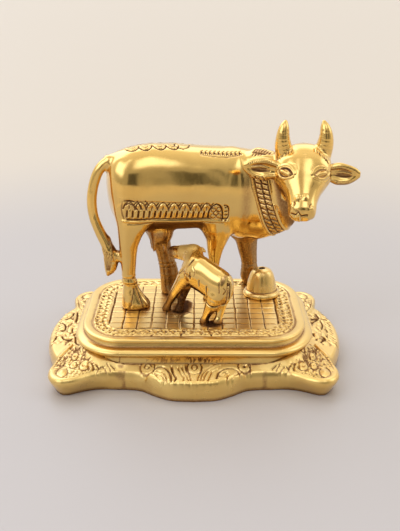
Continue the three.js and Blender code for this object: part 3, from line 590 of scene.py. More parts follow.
CALF_LEGS = [
    [(-3, -7.5, 35, 3.6), (-6, -6.3, 30.5, 2.4), (-8.8, -5, 25.5, 1.7), (-11, -3.6, 20.4, 1.3)],
    [(-2, -5, 34, 3.2), (-3.6, -5, 29, 2.1), (-5, -5.6, 24.5, 1.6), (-5.8, -6, 20.4, 1.3)],
    [(8.6, -18.6, 31, 3.6), (7, -18.2, 27, 2.7), (5.4, -17.4, 23.6, 1.8), (4.3, -16.8, 20.4, 1.3)],
    [(11.4, -15.4, 31, 3.2), (10.8, -16.4, 27, 2.2), (10.2, -17.2, 23.6, 1.6), (9.4, -18, 20.4, 1.3)],
]
CALF_HOOF = [(-0.5, 0, 1.7, -1.7, 2.2), (0.8, 0, 1.7, -1.6, 2.1), (2.6, 0, 1.2, -1.3, 1.2)]
CALF_TAIL = [(-3, 0, 20, 0.9), (-4.7, 0.4, 18, 0.8), (-4.9, 1.2, 13.5, 0.9), (-4.2, 1.6, 10.5, 0.5)]


def calf_casting():
    calf = Casting()
    calf.add(Form(CALF_FRAME, CALF_TRUNK), 1)
    calf.add(Tube(CALF_NECK), 2)
    calf.add(Form(CALF_HEAD_FRAME, CALF_HEAD), 1.2)
    for path in CALF_LEGS:
        calf.add(Tube(path), 1.2)
        x, y = path[-1][:2]
        calf.add(Form(Frame((x, y, PLATE_TOP), (0, 0, 1), (-1, 0.6, 0)), CALF_HOOF), 0.6)
    for s in (-1, 1):
        ear = [(0.6, 2.4 * s, 0.4, 1.1), (-0.6, 3.6 * s, 0, 1), (-1.8, 4.2 * s, -1, 0.35)]
        calf.add(Tube(ear, place=CALF_HEAD_FRAME), 0.4)
    calf.add(Tube(CALF_TAIL, place=CALF_FRAME), 0.5)
    return calf


# The plinth. A quarter of its edge, from the middle of the front to the middle of the right side.
FRONT_TONGUE = [(0, 45.8), (8, 45), (14, 41.8), (19.7, 37.6), (25.8, 36.4)]
LOBE = [
    (25.8, 36.4), (33.7, 36.8), (38.7, 39), (43.8, 42.6), (48.8, 44),
    (52.5, 41.4), (54.2, 36.5), (53, 30), (52.4, 26),
]
SIDE_TONGUE = [(52.4, 26), (55.3, 20), (57.6, 12.5), (58.8, 5), (59, 0)]
# How many points the mesh has along each of the three, in front and behind: an even number in all.
FRONT_COUNTS = (88, 120, 54)
BACK_COUNTS = (36, 56, 50)
# The wall from the floor up: offset from the outline, share of the lean under the lobes, height, and how much
# of the relief there goes outward and upward.
WALL_ROWS = [
    (0.2, 1, 0, 0, 0), (0.35, 0.98, 0.35, 0, 0), (0.6, 0.75, 2, 0, 0), (0.95, 0.4, 4, 0, 0),
    (0.85, 0.15, 5.5, 0.3, 0), (0.55, 0, 6.5, 0.8, 0.3), (0.3, 0, 7.2, 0.7, 0.7),
    (-0.05, 0, 7.75, 0.3, 0.95),
]
WALL_COUNT = len(WALL_ROWS)
# The tier's rings, and those of the wall and the tier together.
TIER_COUNT = 34
LOW_COUNT = WALL_COUNT + TIER_COUNT
# Where the tier meets the platform: offset from the platform's outline, and height.
TIER_FOOT = 1.0
FOOT_HEIGHT = 9.6
# How far in from the edge the lobes' smooth rim ends and the line inside it runs, and the height of the coves
# that rise to the platform's corners.
RIM_WIDTH = 1.9
LINE_PLACE = 2.2
COVE_RISE = 2.3
# The platform's stepped edge from its foot up: offset from its outline, height from the plate, and darkness,
# with painted shade under its roll and its rim; below 0 it is rough as cast.
PLATFORM_EDGE = [
    (0.8, -9.2, 0.4), (0.74, -8.8, 0), (0.7, -8.4, -0.2), (0.68, -8, -0.25), (0.68, -7.7, -0.25),
    (0.7, -7.4, -0.2), (0.75, -7.1, 0), (0.82, -6.8, 0.15), (0.95, -6.55, 0.35), (1.1, -6.25, 0.6),
    (1.5, -5.98, 0.4), (2.2, -5.85, 0.1), (2.75, -5.45, 0), (2.95, -4.9, 0), (2.8, -4.35, 0), (2.3, -3.9, 0),
    (1.5, -3.6, 0), (0.6, -3.42, 0.05), (-0.2, -3.3, 0.35), (-0.6, -3.05, 0.6), (-0.78, -2.75, 0.2),
    (-0.84, -2.4, -0.4), (-0.95, -2, -0.3), (-1.05, -1.78, 0.4), (-0.85, -1.58, 0.35), (-0.4, -1.45, 0.1),
    (-0.1, -1.2, 0), (0, -0.85, 0), (-0.1, -0.5, 0), (-0.4, -0.22, 0), (-0.9, -0.04, 0), (-1.4, 0, 0),
    (-2.2, -0.03, 0), (-2.9, -0.03, 0),
]
# Dark streaks down the front wall: place, half width, strength, and whether they fade towards the floor.
STREAKS = [(-27.4, 4.2, 0.42, True), (-26.3, 1.6, 0.42, False), (26.8, 2, 0.32, False)]
# How far in from the platform's outline the border of leaves starts and ends, and its rings.
BORDER_OUTER = 3.3
BORDER_INNER = 9.9
BORDER_ROWS = 26
# The tiles' length and depth, and where one of the grooves between their rows is.
TILE_LONG = 5.55
TILE_DEEP = 5.2
TILE_START = -2.0
# The hollow's wall and roof keep one in so many of the outside's points.
HOLLOW_SHARE = 4
HOLLOW_PATINA = 0.6
HOLLOW_ROOF = 16.4
# The hollow's rings under the platform: offset from its outline, and height.
HOLLOW_ROWS = [(-1, 6.3), (-3.6, 6.6), (-3.6, 14.9), (-5.1, HOLLOW_ROOF)]
# The tier's ornament is drawn as it is seen from the front. A point that stands higher looks this many times
# its height further back, and what looks round is so many times longer in y.
VIEW_SLOPE = 1.97
TIER_SQUASH = 1.9


def even_path(points, count):
    """A smooth curve through the points, as count points at even distances, without the last."""
    fine = smooth_path(points, 24)
    run = np.append(0, np.cumsum(np.linalg.norm(np.diff(fine, axis=0), axis=1)))
    at = np.linspace(0, run[-1], count + 1)[:-1]
    return np.stack([np.interp(at, run, fine[:, i]) for i in range(2)], 1)


def plinth_outline():
    """The plinth's edge from the middle of the front round to the right, the back and the left."""
    near, far = [
        np.vstack([even_path(points, n) for points, n in zip((FRONT_TONGUE, LOBE, SIDE_TONGUE), counts)])
        for counts in (FRONT_COUNTS, BACK_COUNTS)
    ]
    end = np.array([SIDE_TONGUE[-1]])
    return np.vstack([
        near * (1, -1), end, far[1:][::-1], far[:1], far[1:] * (-1, 1), end * (-1, 1),
        (near[1:] * (-1, -1))[::-1],
    ])


def outward(ring):
    tangent = np.roll(ring, -1, 0) - np.roll(ring, 1, 0)
    tangent /= np.linalg.norm(tangent, axis=1)[:, None]
    return np.stack([tangent[:, 1], -tangent[:, 0]], 1)


OUTLINE = plinth_outline()
ROUND = len(OUTLINE)
OUTLINE_NORMAL = outward(OUTLINE)
# How far each point of the outline is from the middle in x and in y.
OUTLINE_X, OUTLINE_Y = np.abs(OUTLINE).T
IN_FRONT = OUTLINE[:, 1] < 0
AT_LOBE = ramp(OUTLINE_Y, 29, 41) * ramp(OUTLINE_X, 29, 41)


def outline_ring(offset):
    return OUTLINE + OUTLINE_NORMAL * np.asarray(offset).reshape(-1, 1)


def rounded_off(ring, reach=12):
    """The ring with its corners rounded by averaging along it."""
    return np.mean([np.roll(ring, k, 0) for k in range(-reach, reach + 1)], axis=0)


def platform_ring(offset):
    """The platform's rounded rectangle, grown by offset, met along rays from its middle."""
    low = np.zeros(ROUND)
    high = np.full(ROUND, 3.0)
    straight = PLATFORM_HALF - CORNER
    for _ in range(30):
        k = (low + high) / 2
        x, y = (np.maximum(np.abs(OUTLINE * k[:, None]) - straight, 0) / (CORNER + offset)).T
        inside = np.hypot(x, y) < 1
        low = np.where(inside, k, low)
        high = np.where(inside, high, k)
    return OUTLINE * low[:, None]


def at_height(ring, height):
    return np.column_stack([ring, np.full(len(ring), height)])


# Cuts of the middle tongue, left and right of its rosette, in x and in y as seen from the front.
LEFT_FRONDS = [
    [(-14.3, -39.5), (-12.1, -40.5), (-11.1, -42.5), (-10.5, -45)],
    [(-15.3, -37.9), (-13.2, -37.5), (-11.6, -38.5), (-10.5, -41.2), (-9.8, -45.4)],
    [(-6, -34.6), (-5, -38.5), (-3.7, -41.9), (-3.6, -45.6)],
    [(-4.7, -34), (-3.5, -38.5), (-2.5, -41.2), (-1.8, -46)],
    [(-2.9, -32.6), (-2.7, -37.1), (-1.6, -39.8), (-0.9, -45)],
]
LEFT_LEAVES = [
    [(-14.8, -36.2), (-13.6, -34.8), (-11.8, -34.1), (-10.1, -36.1), (-8.7, -39.9), (-8.1, -44.6)],
    [(-8.3, -34), (-7.6, -39.2), (-6.5, -42.5), (-6.7, -46)],
]
RIGHT_FRONDS = [
    [(10.6, -30.8), (7.5, -32.7), (5, -36.2), (3.4, -40.2), (2.8, -45.4)],
    [(10.2, -33), (7.8, -34.8), (5.6, -37.5), (4.3, -41.6), (3.8, -46)],
    [(8.9, -36.2), (7.1, -38.2), (6.2, -41.6), (5.5, -46)],
    [(9.6, -40.9), (10.9, -38.9), (12.7, -38.5), (11.1, -40.9), (9.2, -41.9)],
    [(13, -40.2), (12.3, -44.6)], [(3.1, -37.5), (2, -41.6), (1.6, -46.2)],
]
RIGHT_LEAVES = [
    [(8.6, -43), (8.9, -41.2), (9.6, -38.5), (11.5, -36.2), (14.1, -35.5), (16.2, -36.8), (17.4, -39.2)],
    [(20.8, -32.2), (21.5, -35.5), (20.9, -39.5)],
]
# Where the fronds and the leaves end at the rim.
FROND_END = -44.3
# Paths, the width of their cuts and the side they are on, for the front and for the plainer back.
FRONT_CUTS = [
    (LEFT_FRONDS, 0.4, 1), (LEFT_LEAVES, 0.58, 1), (RIGHT_FRONDS, 0.38, 1), (RIGHT_LEAVES, 0.52, 1),
]
BACK_CUTS = [
    (LEFT_FRONDS[2:], 0.4, 1), (LEFT_LEAVES, 0.5, 1), (LEFT_FRONDS[2:], 0.4, -1), (LEFT_LEAVES, 0.5, -1),
]


def tongue_scrolls(tier, sy):
    """The middle tongue: a ringed rosette, fronds that fan out from it, arched leaves and two volutes."""
    tier.mirror(1, -sy)
    tier.curve([(-14.5, -39), (-8, -38), (0.4, -37.5), (8, -38), (15, -38.5)], 5, 0.5, 0, 0.5)
    for x in (-11.2, -9, -7.4, -5, -2.9, -0.4, 2.2, 3.4, 4.7, 7, 10.4):
        tier.patch((x, -45), (0.9, 0.8), 0.3, 0, 0.9)
    right_volute = (19.2, -33.3, 1.45, 1) if sy < 0 else (17.3, -34.1, 1.55, 1)
    for x, y, radius, way in ((-17.3, -34.1, 1.65, -1), right_volute):
        tier.patch((x, y), radius + 1.4, 0.1, 0, 0.4)
        if way < 0:
            tier.patch((x, y), radius + 0.9, 0.45, 0, 0.9)
            tier.ring((x, y), radius + 1.1, 0.38, -0.35, 0.75)
            tier.spiral((x, y), 1.6, 1.1, 0.2, -sy, 0.4, -0.4, 0.75)
        else:
            tier.ring((x, y), radius + 0.95, 0.4, -0.3, 0.75)
            tier.ring((x, y), radius, 0.85, 0.45, 0)
            tier.patch((x, y), 0.75, -0.3, 0.85)
        stem = [(x - way * 1.4, y - 4.6), (x - way * 3.6, y - 6.6), (x - way * 5.6, y - 9.6)]
        tier.groove(stem, 0.3, 0.2, 0.3)
    for paths, width, sx in FRONT_CUTS if sy < 0 else BACK_CUTS:
        tier.mirror(sx, -sy)
        for points in paths:
            shorter = [(x, max(y, FROND_END)) for x, y in points]
            tier.groove(shorter, width, 0.45, 0.5 if width < 0.45 else 0.72)
    tier.mirror(1, -sy)
    rosette = (0.4, -34.7)
    tier.ring(rosette, 2.75, 0.42, -0.3, 0.72)
    tier.ring(rosette, 1.85, 0.85, 0.45, 0)
    tier.ring(rosette, 1.05, 0.34, 0.05, 0.7)
    tier.patch(rosette, 0.75, 0.35, 0)
    tier.groove([(-20.4, -32.4), (-20.3, -35), (-19.7, -37.8)], 0.3, 0.2, 0.5)


# The inner and outer edge of a lobe's pitted field, and a ringed boss near its tip.
FIELD_FOOT = [(47.2, 15), (46.4, 17.5), (38.8, 29.8), (35, 34.4), (31.4, 37.4)]
FIELD_BAR = [(47.6, 14.6), (49.1, 18.6), (51.1, 24.4), (52.6, 32), (53.1, 35.6)]
LOBE_BOSS = (49.2, 37.8)
# Larger scrolls of the field: x, y, radius and start.
FRONT_SCROLLS = [(41.2, 32.6, 1.7, 0.9), (45.5, 32.4, 1.15, -0.6), (45.8, 25, 1.2, 2)]
BACK_SCROLLS = [(42.5, 30, 1.5, 0.9)]


def field_x(edge, y):
    """Where an edge of the field is at y."""
    return np.interp(y, *np.array(edge).T[::-1])


def scatter(chance, x, y, reach):
    """The ends of a short stroke at x and y that points anywhere, as seen at the tier's slant."""
    tilt = chance.uniform(0, math.pi)
    step = np.array([math.cos(tilt), TIER_SQUASH * math.sin(tilt)]) * chance.uniform(*reach)
    return np.array([(x, y) - step, (x, y) + step])


def lobe_scrolls(tier, sx, sy, seed):
    """A corner lobe: a pitted field with a boss and scrolls, a bar along its outer edge, and notches."""
    chance = np.random.default_rng(seed)
    tier.mirror(sx, sy)
    front = sy < 0
    for _ in range(400 if front else 200):
        y = chance.uniform(17, 44)
        x = chance.uniform(field_x(FIELD_FOOT, y), field_x(FIELD_BAR, y) - 0.8)
        mark = scatter(chance, x, y, (0.05, 0.55))
        depth = chance.uniform(0.3, 0.55)
        dark = chance.uniform(0.3, 0.78)
        tier.stroke(mark, chance.uniform(0.28, 0.4), -depth, dark, 0.9)
        if chance.uniform() < 0.4:
            tier.patch((x + 0.7, y + 0.8), 0.4, 0.3, 0)
    for k in range(9 if front else 4):
        y = 19.5 + (1.9 if front else 4.4) * k
        low = field_x(FIELD_FOOT, y) + 1
        high = field_x(FIELD_BAR, y) - 1.6
        if high > low:
            centre = (chance.uniform(low, high), y)
            tier.spiral(centre, 1, 0.8, chance.uniform(0, 6), 1 if k % 2 else -1, 0.34, -0.45, 0.75, 0.5)
    for x, y, radius, start in FRONT_SCROLLS if front else BACK_SCROLLS:
        tier.patch((x, y), radius + 0.75, 0, 0.1, 0.4)
        tier.spiral((x, y), radius + 0.45, 1.1, start, sx * sy, 0.36, -0.45, 0.8, radius)
        tier.spiral((x, y), radius - 0.15, 1.1, start, sx * sy, 0.5, 0.4, 0, 0.7)
        tier.patch((x, y), 0.4, -0.3, 0.7)
    if front:
        for points in ([(38.4, 31.6), (37.4, 34), (37.8, 37)], [(36.4, 33), (35.6, 35.4), (36.4, 38)]):
            tier.curve([(x + 0.8, y) for x, y in points], 0.6, 0.35, 0, 0.8)
            tier.groove(points, 0.42, 0.45, 0.75)
    tier.patch(LOBE_BOSS, 2.9, 0, 0.05, 0.25)
    tier.spiral(LOBE_BOSS, 2.15, 0.85, 2.2 if sx > 0 else 0.9, -sx * sy, 0.46, -0.45, 0.75, 2.15)
    tier.patch(LOBE_BOSS, 1.5, 0.6, 0, 0.9)
    tier.curve(FIELD_BAR, 0.34, -0.4, 0.65, 0.8)
    tier.curve([(x + 0.95, y) for x, y in FIELD_BAR], 0.8, 0.55, 0, 0.8)
    for k in range(10 if sx < 0 else 5):
        y = 25 + 1.9 * k
        tier.stroke([(51.2 + 0.05 * k, y), (52.6 + 0.03 * k, y + 0.6)], 0.3, -0.3, 0.75)
    for x, top, foot in ((30.2, 33.6, 35.6), (31.7, 32.6, 36.4), (33.2, 34.4, 37)):
        tier.groove([(x + 1, top), (x + 0.3, (top + foot) / 2), (x - 0.5, foot)], 0.4, 0.3, 0.65)
    if sx < 0 and front:
        tier.patch((27.5, 33.4), (2.6, 2), None, 0.35, 0.9)


# Cuts of the side tongues, in x from the middle outward and in y as seen from the front.
LEFT_CUTS = [
    [(56.6, 6.9), (54.9, 6.1), (53.8, 2.6), (54.1, -0.3), (55.3, -0.3)],
    [(50.7, 1.8), (50.2, -2.8), (50.9, -3.2)],
    [(54, -6.2), (52.9, -8.9), (50.9, -9.7), (49.1, -8.5), (48.9, -4.5)],
    [(55.2, 11.1), (53.5, 12.2), (52.6, 14.9), (52.7, 17.4)], [(51, 17.4), (50.4, 12.2), (50.3, 8)],
    [(56.5, -9.6), (56.3, -6.2)], [(48.2, -6.5), (47.1, -12.9), (45.4, -16)],
]
RIGHT_CUTS = [
    [(53.6, 10), (53.9, 5.1), (53, 1.2)], [(54.8, 0.8), (55.1, -1.2)], [(54.2, -5.6), (54.2, -7.2)],
    [(52.3, -6.4), (53.2, -9.4), (51.2, -11.2)], [(49.5, -8.4), (49.3, -10)], [(48.7, -3), (48.8, -5)],
    [(52.9, 11.2), (50, 10.8)], [(52.6, 10.3), (50, 7.6)], [(53.3, 12.4), (52.6, 17)],
    [(54.4, 11.4), (56.4, 10.6)],
]
SIDE_BOSSES = [(-5.6, 1.5), (4.6, 1.2), (14, 1.1)]
SIDE_PITS = [(46.2, -14.6), (44.6, -19.6), (48.6, -17.8), (49.7, 31), (49.8, 40.2), (48.8, 28.8)]
PALMETTE = (52.2, 10.5)


def side_scrolls(tier, sx):
    """A side tongue: ringed bosses, a palmette and short marks, with deep curved cuts between them."""
    tier.mirror(sx, 1)
    for y, radius in SIDE_BOSSES:
        tier.ring((51.9, y), radius, 0.8, 0.5, 0)
        tier.patch((51.9, y), 0.5, 0, 0.45)
    chance = np.random.default_rng(60 + sx)
    for _ in range(150):
        x = chance.uniform(48.5, 56.8)
        mark = scatter(chance, x, chance.uniform(-14, 19), (0.1, 0.8))
        rise, stain_and_shade = (0.35, 0) if chance.uniform() < 0.5 else (-0.3, chance.uniform(0.4, 0.75))
        tier.stroke(mark, chance.uniform(0.35, 0.6), rise, stain_and_shade, 0.9)
    for k in range(11):
        y = -14 + 2.8 * k
        tier.groove([(57.4, y), (56.6, y + 1.4), (55.6, y + 2)], 0.36, 0.3, 0.7)
        tier.stroke([(56.2, y + 0.4), (55.2, y + 2.6)], 0.5, 0.3, 0)
    x, y = PALMETTE
    for k in range(7):
        turn = 0.45 * k - 0.2
        tier.groove([PALMETTE, (x - 2.6 * math.cos(turn), y + 4.6 * math.sin(turn))], 0.28, 0.25, 0.55)
    for cut in LEFT_CUTS if sx < 0 else RIGHT_CUTS:
        tier.curve(np.array(cut) + (0.8, 0), 0.6, 0.35, 0, 0.9)
        tier.groove(cut, 0.55, 0.5, 0.9)
    if sx > 0:
        tier.patch((52.2, -9.4), 1.1, -0.4, 0.75)
    for spot in SIDE_PITS:
        tier.patch(spot, 0.7, -0.35, 0.7)
    tier.ring((42, -22.6), 1, 0.36, -0.3, 0.75)


def skirt_marks(skirt):
    """Brown smears and the short strokes of a chasing tool low on the platform's front."""
    chance = np.random.default_rng(21)
    for low, high, count, strength in ((-18, -8, 26, 0.5), (-8, 11, 40, 0.5), (-2, 6, 18, 0.9)):
        for _ in range(count):
            x = chance.uniform(low, high)
            z = chance.uniform(-8.8, -7.4)
            end = (x + chance.uniform(-0.5, 0.7), z + chance.uniform(0.4, 1.2))
            skirt.stroke([(x, z), end], chance.uniform(0.3, 0.5), None, strength * chance.uniform(0.7, 1))
    for x in (-34, -28):
        skirt.stroke([(x, -8.9), (x + 0.2, -6.3)], 0.4, None, 0.6)


# The pits between two leaves of the border: place along and across it, lean and half length.
BORDER_PITS = [(2.9, 5.6, 0.4, 0.7), (0.8, 5.6, 1.2, 0.25), (-0.8, 8.3, -0.5, 0.7), (1.5, 8.3, 1, 0.25)]
LEAF_PITCH = 3.5
# The length of one piece of the line outside the leaves.
LINE_STEP = 5


def border_leaves(border, length):
    """A chain of curled leaves round the plate, with pits between them and a broken line cut outside,
    darkened partly as painted shade of the rim's step.
    """
    count = round(length / LEAF_PITCH)
    pitch = length / count
    chance = np.random.default_rng(11)
    border.stroke([(-2, 6.9), (length + 2, 6.9)], 2.9, 0, 0.2, 0.3)
    for i in range(-1, count + 1):
        s = i * pitch + chance.uniform(-0.45, 0.45)
        sway = chance.uniform(-0.5, 0.5)
        lift = chance.uniform(-0.3, 0.3)
        for leaf in (
            [(s - 0.4, 4.8), (s + 1.2 + sway, 4.4), (s + 2.2, 5.5), (s + 1.4, 6.8 + lift), (s + 0.3, 6.2)],
            [(s + 2.5, 9.2), (s + 0.8 + sway, 9.3), (s, 8.2), (s + 0.9, 7.2 + lift), (s + 2.1, 7.6)],
        ):
            border.curve(leaf, 0.7, 0.38, 0, 0.8)
        for x, across, lean, reach in BORDER_PITS:
            lean += chance.uniform(-0.7, 0.7)
            reach *= chance.uniform(0.6, 1.3)
            step = np.array([math.sin(lean), math.cos(lean)]) * reach
            spot = np.array([s + x + chance.uniform(-0.4, 0.4), across + chance.uniform(-0.35, 0.35)])
            width = chance.uniform(0.5, 0.7)
            border.stroke([spot - step, spot + step], width, -0.5, chance.uniform(0.75, 1), 0.8)
    # The cut line outside the leaves is darkened partly as painted shade of the step to the rim.
    for k in range(round(length / LINE_STEP) + 1):
        s = LINE_STEP * k
        run = [(s - 0.3, 3.8 + chance.uniform(-0.12, 0.12)), (s + LINE_STEP + 0.3, 3.8)]
        border.stroke(run, 0.7, -0.3, chance.uniform(0.3, 0.62), 0.7)


def tile_grooves(panel):
    """Dark grooves between the columns of tiles, and thin ones between the rows, all cut by hand."""
    panel.flat = panel.flat + 0.1 * np.stack([ripple(panel.flat, 9, 3), ripple(panel.flat, 7, 4)], 1)
    half = TILE_LONG / 2
    for j in range(-5, 6):
        chance = np.random.default_rng(80 + j)
        for k in range(-12, 12):
            row = [(x, TILE_START + j * TILE_DEEP + 1 - ramp(x, -20, 6)) for x in (half * k, half * (k + 1))]
            panel.stroke(row, 0.4, -0.25, chance.uniform(0.5, 0.85), 0.8)
    for i in range(-6, 7):
        x = i * TILE_LONG
        chance = np.random.default_rng(40 + i)
        for y in range(-24, 24, 2):
            faint = i in (-1, -2, -3) and y < -16
            dark = chance.uniform(0.3, 0.5) if faint else chance.uniform(0.6, 0.92)
            width = chance.uniform(0.28, 0.4) if abs(i) < 6 else 0.55
            panel.stroke([(x, y), (x, y + 2)], width, -0.4, dark, 0.8)


# Solder at the calf's feet, spread wide as painted shadow between its legs: place, half length, half depth
# and height.
# Then the places of the cow's feet.
SOLDER_AND_SHADOW = [
    (-5, -3, 5, 7.5, 0.7), (-6, -6.4, 4.2, 3.6, 0.6), (-3.4, 1, 3.4, 7, 0.5), (8, -18, 4.4, 4.2, 0.5),
    (6.6, -20, 3.4, 2.6, 0.4),
]
COW_FEET = [(-28.4, 0.4), (-20, -4), (-12, 12), (-7, 8), (31, 8)]


def solder_and_shadow(plate):
    """Solder where the calf's feet were brazed, spread wide as painted shadow; the plate darker round the
    cow's feet.
    """
    for x, y, long, deep, rise in SOLDER_AND_SHADOW:
        # The solder patches spread wider than the feet, as painted shadow between the calf's legs.
        plate.patch((x, y), (long, deep), rise, 0.92, 0.5)
    for foot in COW_FEET:
        plate.patch(foot, (3.4, 3.6), 0.08, 0.45, 0.9)


def ring_noise(rings, size, seed):
    return ripple(rings.reshape(-1, 3), size, seed).reshape(rings.shape[:2])


def engrave_tier(rings):
    """The height and the patina that the ornament gives to the wall and the tier."""
    shift = VIEW_SLOPE * np.clip(rings[..., 2] - 8.2, 0, 2)
    shift *= np.clip(1 - (rings[..., 1] - 5) / 10, -1, 1)
    tier = Engraving(np.stack([rings[..., 0], rings[..., 1] + shift], -1).reshape(-1, 2), squash=TIER_SQUASH)
    for sy in (1, -1):
        tongue_scrolls(tier, sy)
        for sx in (-1, 1):
            lobe_scrolls(tier, sx, sy, 5 + 2 * sx + sy)
    for sx in (-1, 1):
        side_scrolls(tier, sx)
    return [values.reshape(rings.shape[:2]) for values in (tier.height, tier.dark)]


def tier_rings():
    """The wall and the sloping tier as rings from the floor up, with how dark each point is."""
    edge = outline_ring(-0.5)
    foot = platform_ring(TIER_FOOT)
    rings = []
    for out, lean, z, _, _ in WALL_ROWS:
        ring = outline_ring(out - lean * LOBE_UNDERCUT * AT_LOBE)
        rings.append(at_height(mix(ring, rounded_off(ring), (lean * AT_LOBE)[:, None]), z))
    for share in np.linspace(0, 1, TIER_COUNT):
        rings.append(at_height(mix(edge, foot, share), mix(TIER_EDGE, FOOT_HEIGHT, share)))
    rings = np.array(rings)
    height, dark = engrave_tier(rings)

    # The lobes' smooth rim and the line inside it, and the darker crevice where the tier meets the platform.
    reach = np.linalg.norm(rings[..., :2] - edge, axis=2)
    reach[:WALL_COUNT] = 0
    width = np.linalg.norm(edge - foot, axis=1)
    rim = AT_LOBE * ramp(RIM_WIDTH - reach, 0, 0.9)
    line = AT_LOBE * ramp(1 - np.abs(reach - LINE_PLACE) / 0.45, 0, 1)
    height = mix(mix(height, 0.18, rim), -0.35, line)
    dark = np.maximum(mix(dark, 0, rim), 0.45 * line * (0.6 + 0.4 * ring_noise(rings, 2.2, 31)))
    height *= 1 - ramp(reach / np.maximum(width, 0.1), 0.93, 1)
    crevice_dark = (0.62 + 0.3 * ring_noise(rings, 2.6, 32)) * ramp(reach - width + 0.8, 0, 0.8)
    dark = np.maximum(dark, crevice_dark * (1 - 0.5 * AT_LOBE))

    # The relief moves the points out or up, the front tongue's edge is notched, and coves rise at corners.
    outs = np.zeros(LOW_COUNT)
    ups = np.ones(LOW_COUNT)
    outs[:WALL_COUNT] = [row[3] for row in WALL_ROWS]
    ups[:WALL_COUNT] = [row[4] for row in WALL_ROWS]
    at_rim = np.clip((rings[:, 0, 2] - 6.6) / 0.8, 0, 1) * outs
    teeth = np.where(IN_FRONT & (OUTLINE_X < 9.2), 0.4 * np.abs(np.cos(OUTLINE_X * math.pi / 2.4)), 0)
    push = np.clip(height, -0.25, 0.2) * outs[:, None] + teeth * at_rim[:, None]
    corner = ramp(np.abs(foot[:, 0]), 24, 38) * ramp(np.abs(foot[:, 1]), 12, 26)
    rings[..., :2] += OUTLINE_NORMAL * push[..., None]
    cove = COVE_RISE * corner * ramp(width - reach, 5.5, 0) ** 1.6
    rings[..., 2] += height * ups[:, None] + cove

    # The wall is darker at its foot, and three streaks run down its front. The clean tier is as rough as it
    # was cast.
    wall = rings[:WALL_COUNT]
    wall_z = wall[..., 2]
    dark[:WALL_COUNT] = np.maximum(dark[:WALL_COUNT] * ramp(wall_z, 6, 8), 0.7 * ramp(0.9 - wall_z, 0, 0.8))
    broken = 0.75 + 0.35 * ring_noise(wall, 1.8, 33)
    for x, wide, strength, fades in STREAKS:
        streak = ramp(wide - np.abs(OUTLINE[:, 0] - x), 0, wide) * IN_FRONT * broken
        streak *= ramp(wall_z, 2, 7) if fades else 1
        dark[:WALL_COUNT] = np.maximum(dark[:WALL_COUNT], strength * streak)
    cast = ramp(np.arange(LOW_COUNT), WALL_COUNT - 1, WALL_COUNT + 2)[:, None]
    middle_tongue = ramp(24 - OUTLINE_X, 0, 5) * (OUTLINE_Y > 20)
    dark -= (0.38 + 0.36 * middle_tongue) * cast * (1 - ramp(dark, 0, 0.25))
    return rings, dark


def edge_rings():
    """The platform's stepped edge as rings from its foot up, with how dark each point is."""
    offsets, rises, edge_darkness = zip(*PLATFORM_EDGE)
    heights = PLATE_TOP + np.array(rises)
    rings = np.array([at_height(platform_ring(out), z) for out, z in zip(offsets, heights)])
    # Each ring's darkness from PLATFORM_EDGE, with painted shade under the roll and the rim.
    dark = np.repeat(np.array(edge_darkness)[:, None], ROUND, axis=1)
    skirt = Engraving(np.stack([rings[..., 0], rings[..., 2] - PLATE_TOP], -1).reshape(-1, 2))
    skirt_marks(skirt)
    return rings, np.maximum(dark, skirt.dark.reshape(dark.shape) * (rings[..., 1] < 0))


def border_rings():
    """The plate's border of leaves as rings from the edge inward, with how dark each point is."""
    offsets = np.linspace(BORDER_OUTER, BORDER_INNER, BORDER_ROWS)
    rings = np.array([at_height(platform_ring(-offset), PLATE_TOP - 0.05) for offset in offsets])
    middle = platform_ring(-6.5)
    run = np.append(0, np.cumsum(np.linalg.norm(np.roll(middle, -1, 0) - middle, axis=1)))
    border = Engraving(np.stack([np.tile(run[:-1], BORDER_ROWS), np.repeat(offsets, ROUND)], 1))
    border_leaves(border, run[-1])
    rings[..., 2] += border.height.reshape(BORDER_ROWS, ROUND)
    return rings, border.dark.reshape(BORDER_ROWS, ROUND)


def tile_panel(ring):
    """Flat points and triangles that fill the ring, finer at the grooves between the tiles."""
    number = int(ring[:, 0].max() / TILE_LONG) + 1
    steps = (-0.6, -0.42, -0.22, 0, 0.22, 0.42, 0.6, 1.2, TILE_LONG / 2, TILE_LONG - 1.2)
    across = np.array([i * TILE_LONG + step for i in range(-number, number + 1) for step in steps])
    lines = [across, np.arange(-ring[:, 1].max(), ring[:, 1].max(), 0.4)]
    grid = np.stack(np.meshgrid(*lines, indexing="ij"), -1).reshape(-1, 2)
    x, y = grid.T
    inside = np.zeros(len(grid), bool)
    for a, b in zip(ring, np.roll(ring, -1, 0)):
        if a[1] != b[1]:
            crosses = (a[1] > y) != (b[1] > y)
            inside ^= crosses & (x < a[0] + (y - a[1]) * (b[0] - a[0]) / (b[1] - a[1]))
    grid = grid[inside]
    grid = grid[path_distance(grid, np.vstack([ring, ring[:1]])) > 0.3]
    points = [Vector(p) for p in np.vstack([ring, grid])]
    loop = [(i, (i + 1) % ROUND) for i in range(ROUND)]
    found, _, faces, origin, _, _ = delaunay_2d_cdt(points, loop, [], 1, 1e-7)
    return np.array([tuple(p) for p in found]), faces, [source[0] for source in origin]


class Skin:
    """Gathers the points, the patina and painted shade, and the faces of a mesh that is mostly bands between
    rings.
    """

    def __init__(self):
        self.points = []
        self.patina_and_shade = []
        self.faces = []
        self.total = 0

    def add(self, points, patina_and_shade):
        """Adds points, and gives back the number of the first."""
        self.points.append(points)
        self.patina_and_shade.append(np.broadcast_to(patina_and_shade, len(points)))
        self.total += len(points)
        return self.total - len(points)

    def band(self, first, second, count):
        i = np.arange(count)
        j = (i + 1) % count
        self.faces += np.stack([first + i, first + j, second + j, second + i], 1).tolist()

    def finish(self, name):
        mesh = bpy.data.meshes.new(name)
        mesh.from_pydata(np.vstack(self.points).tolist(), [], self.faces)
        return mesh, np.concatenate(self.patina_and_shade)


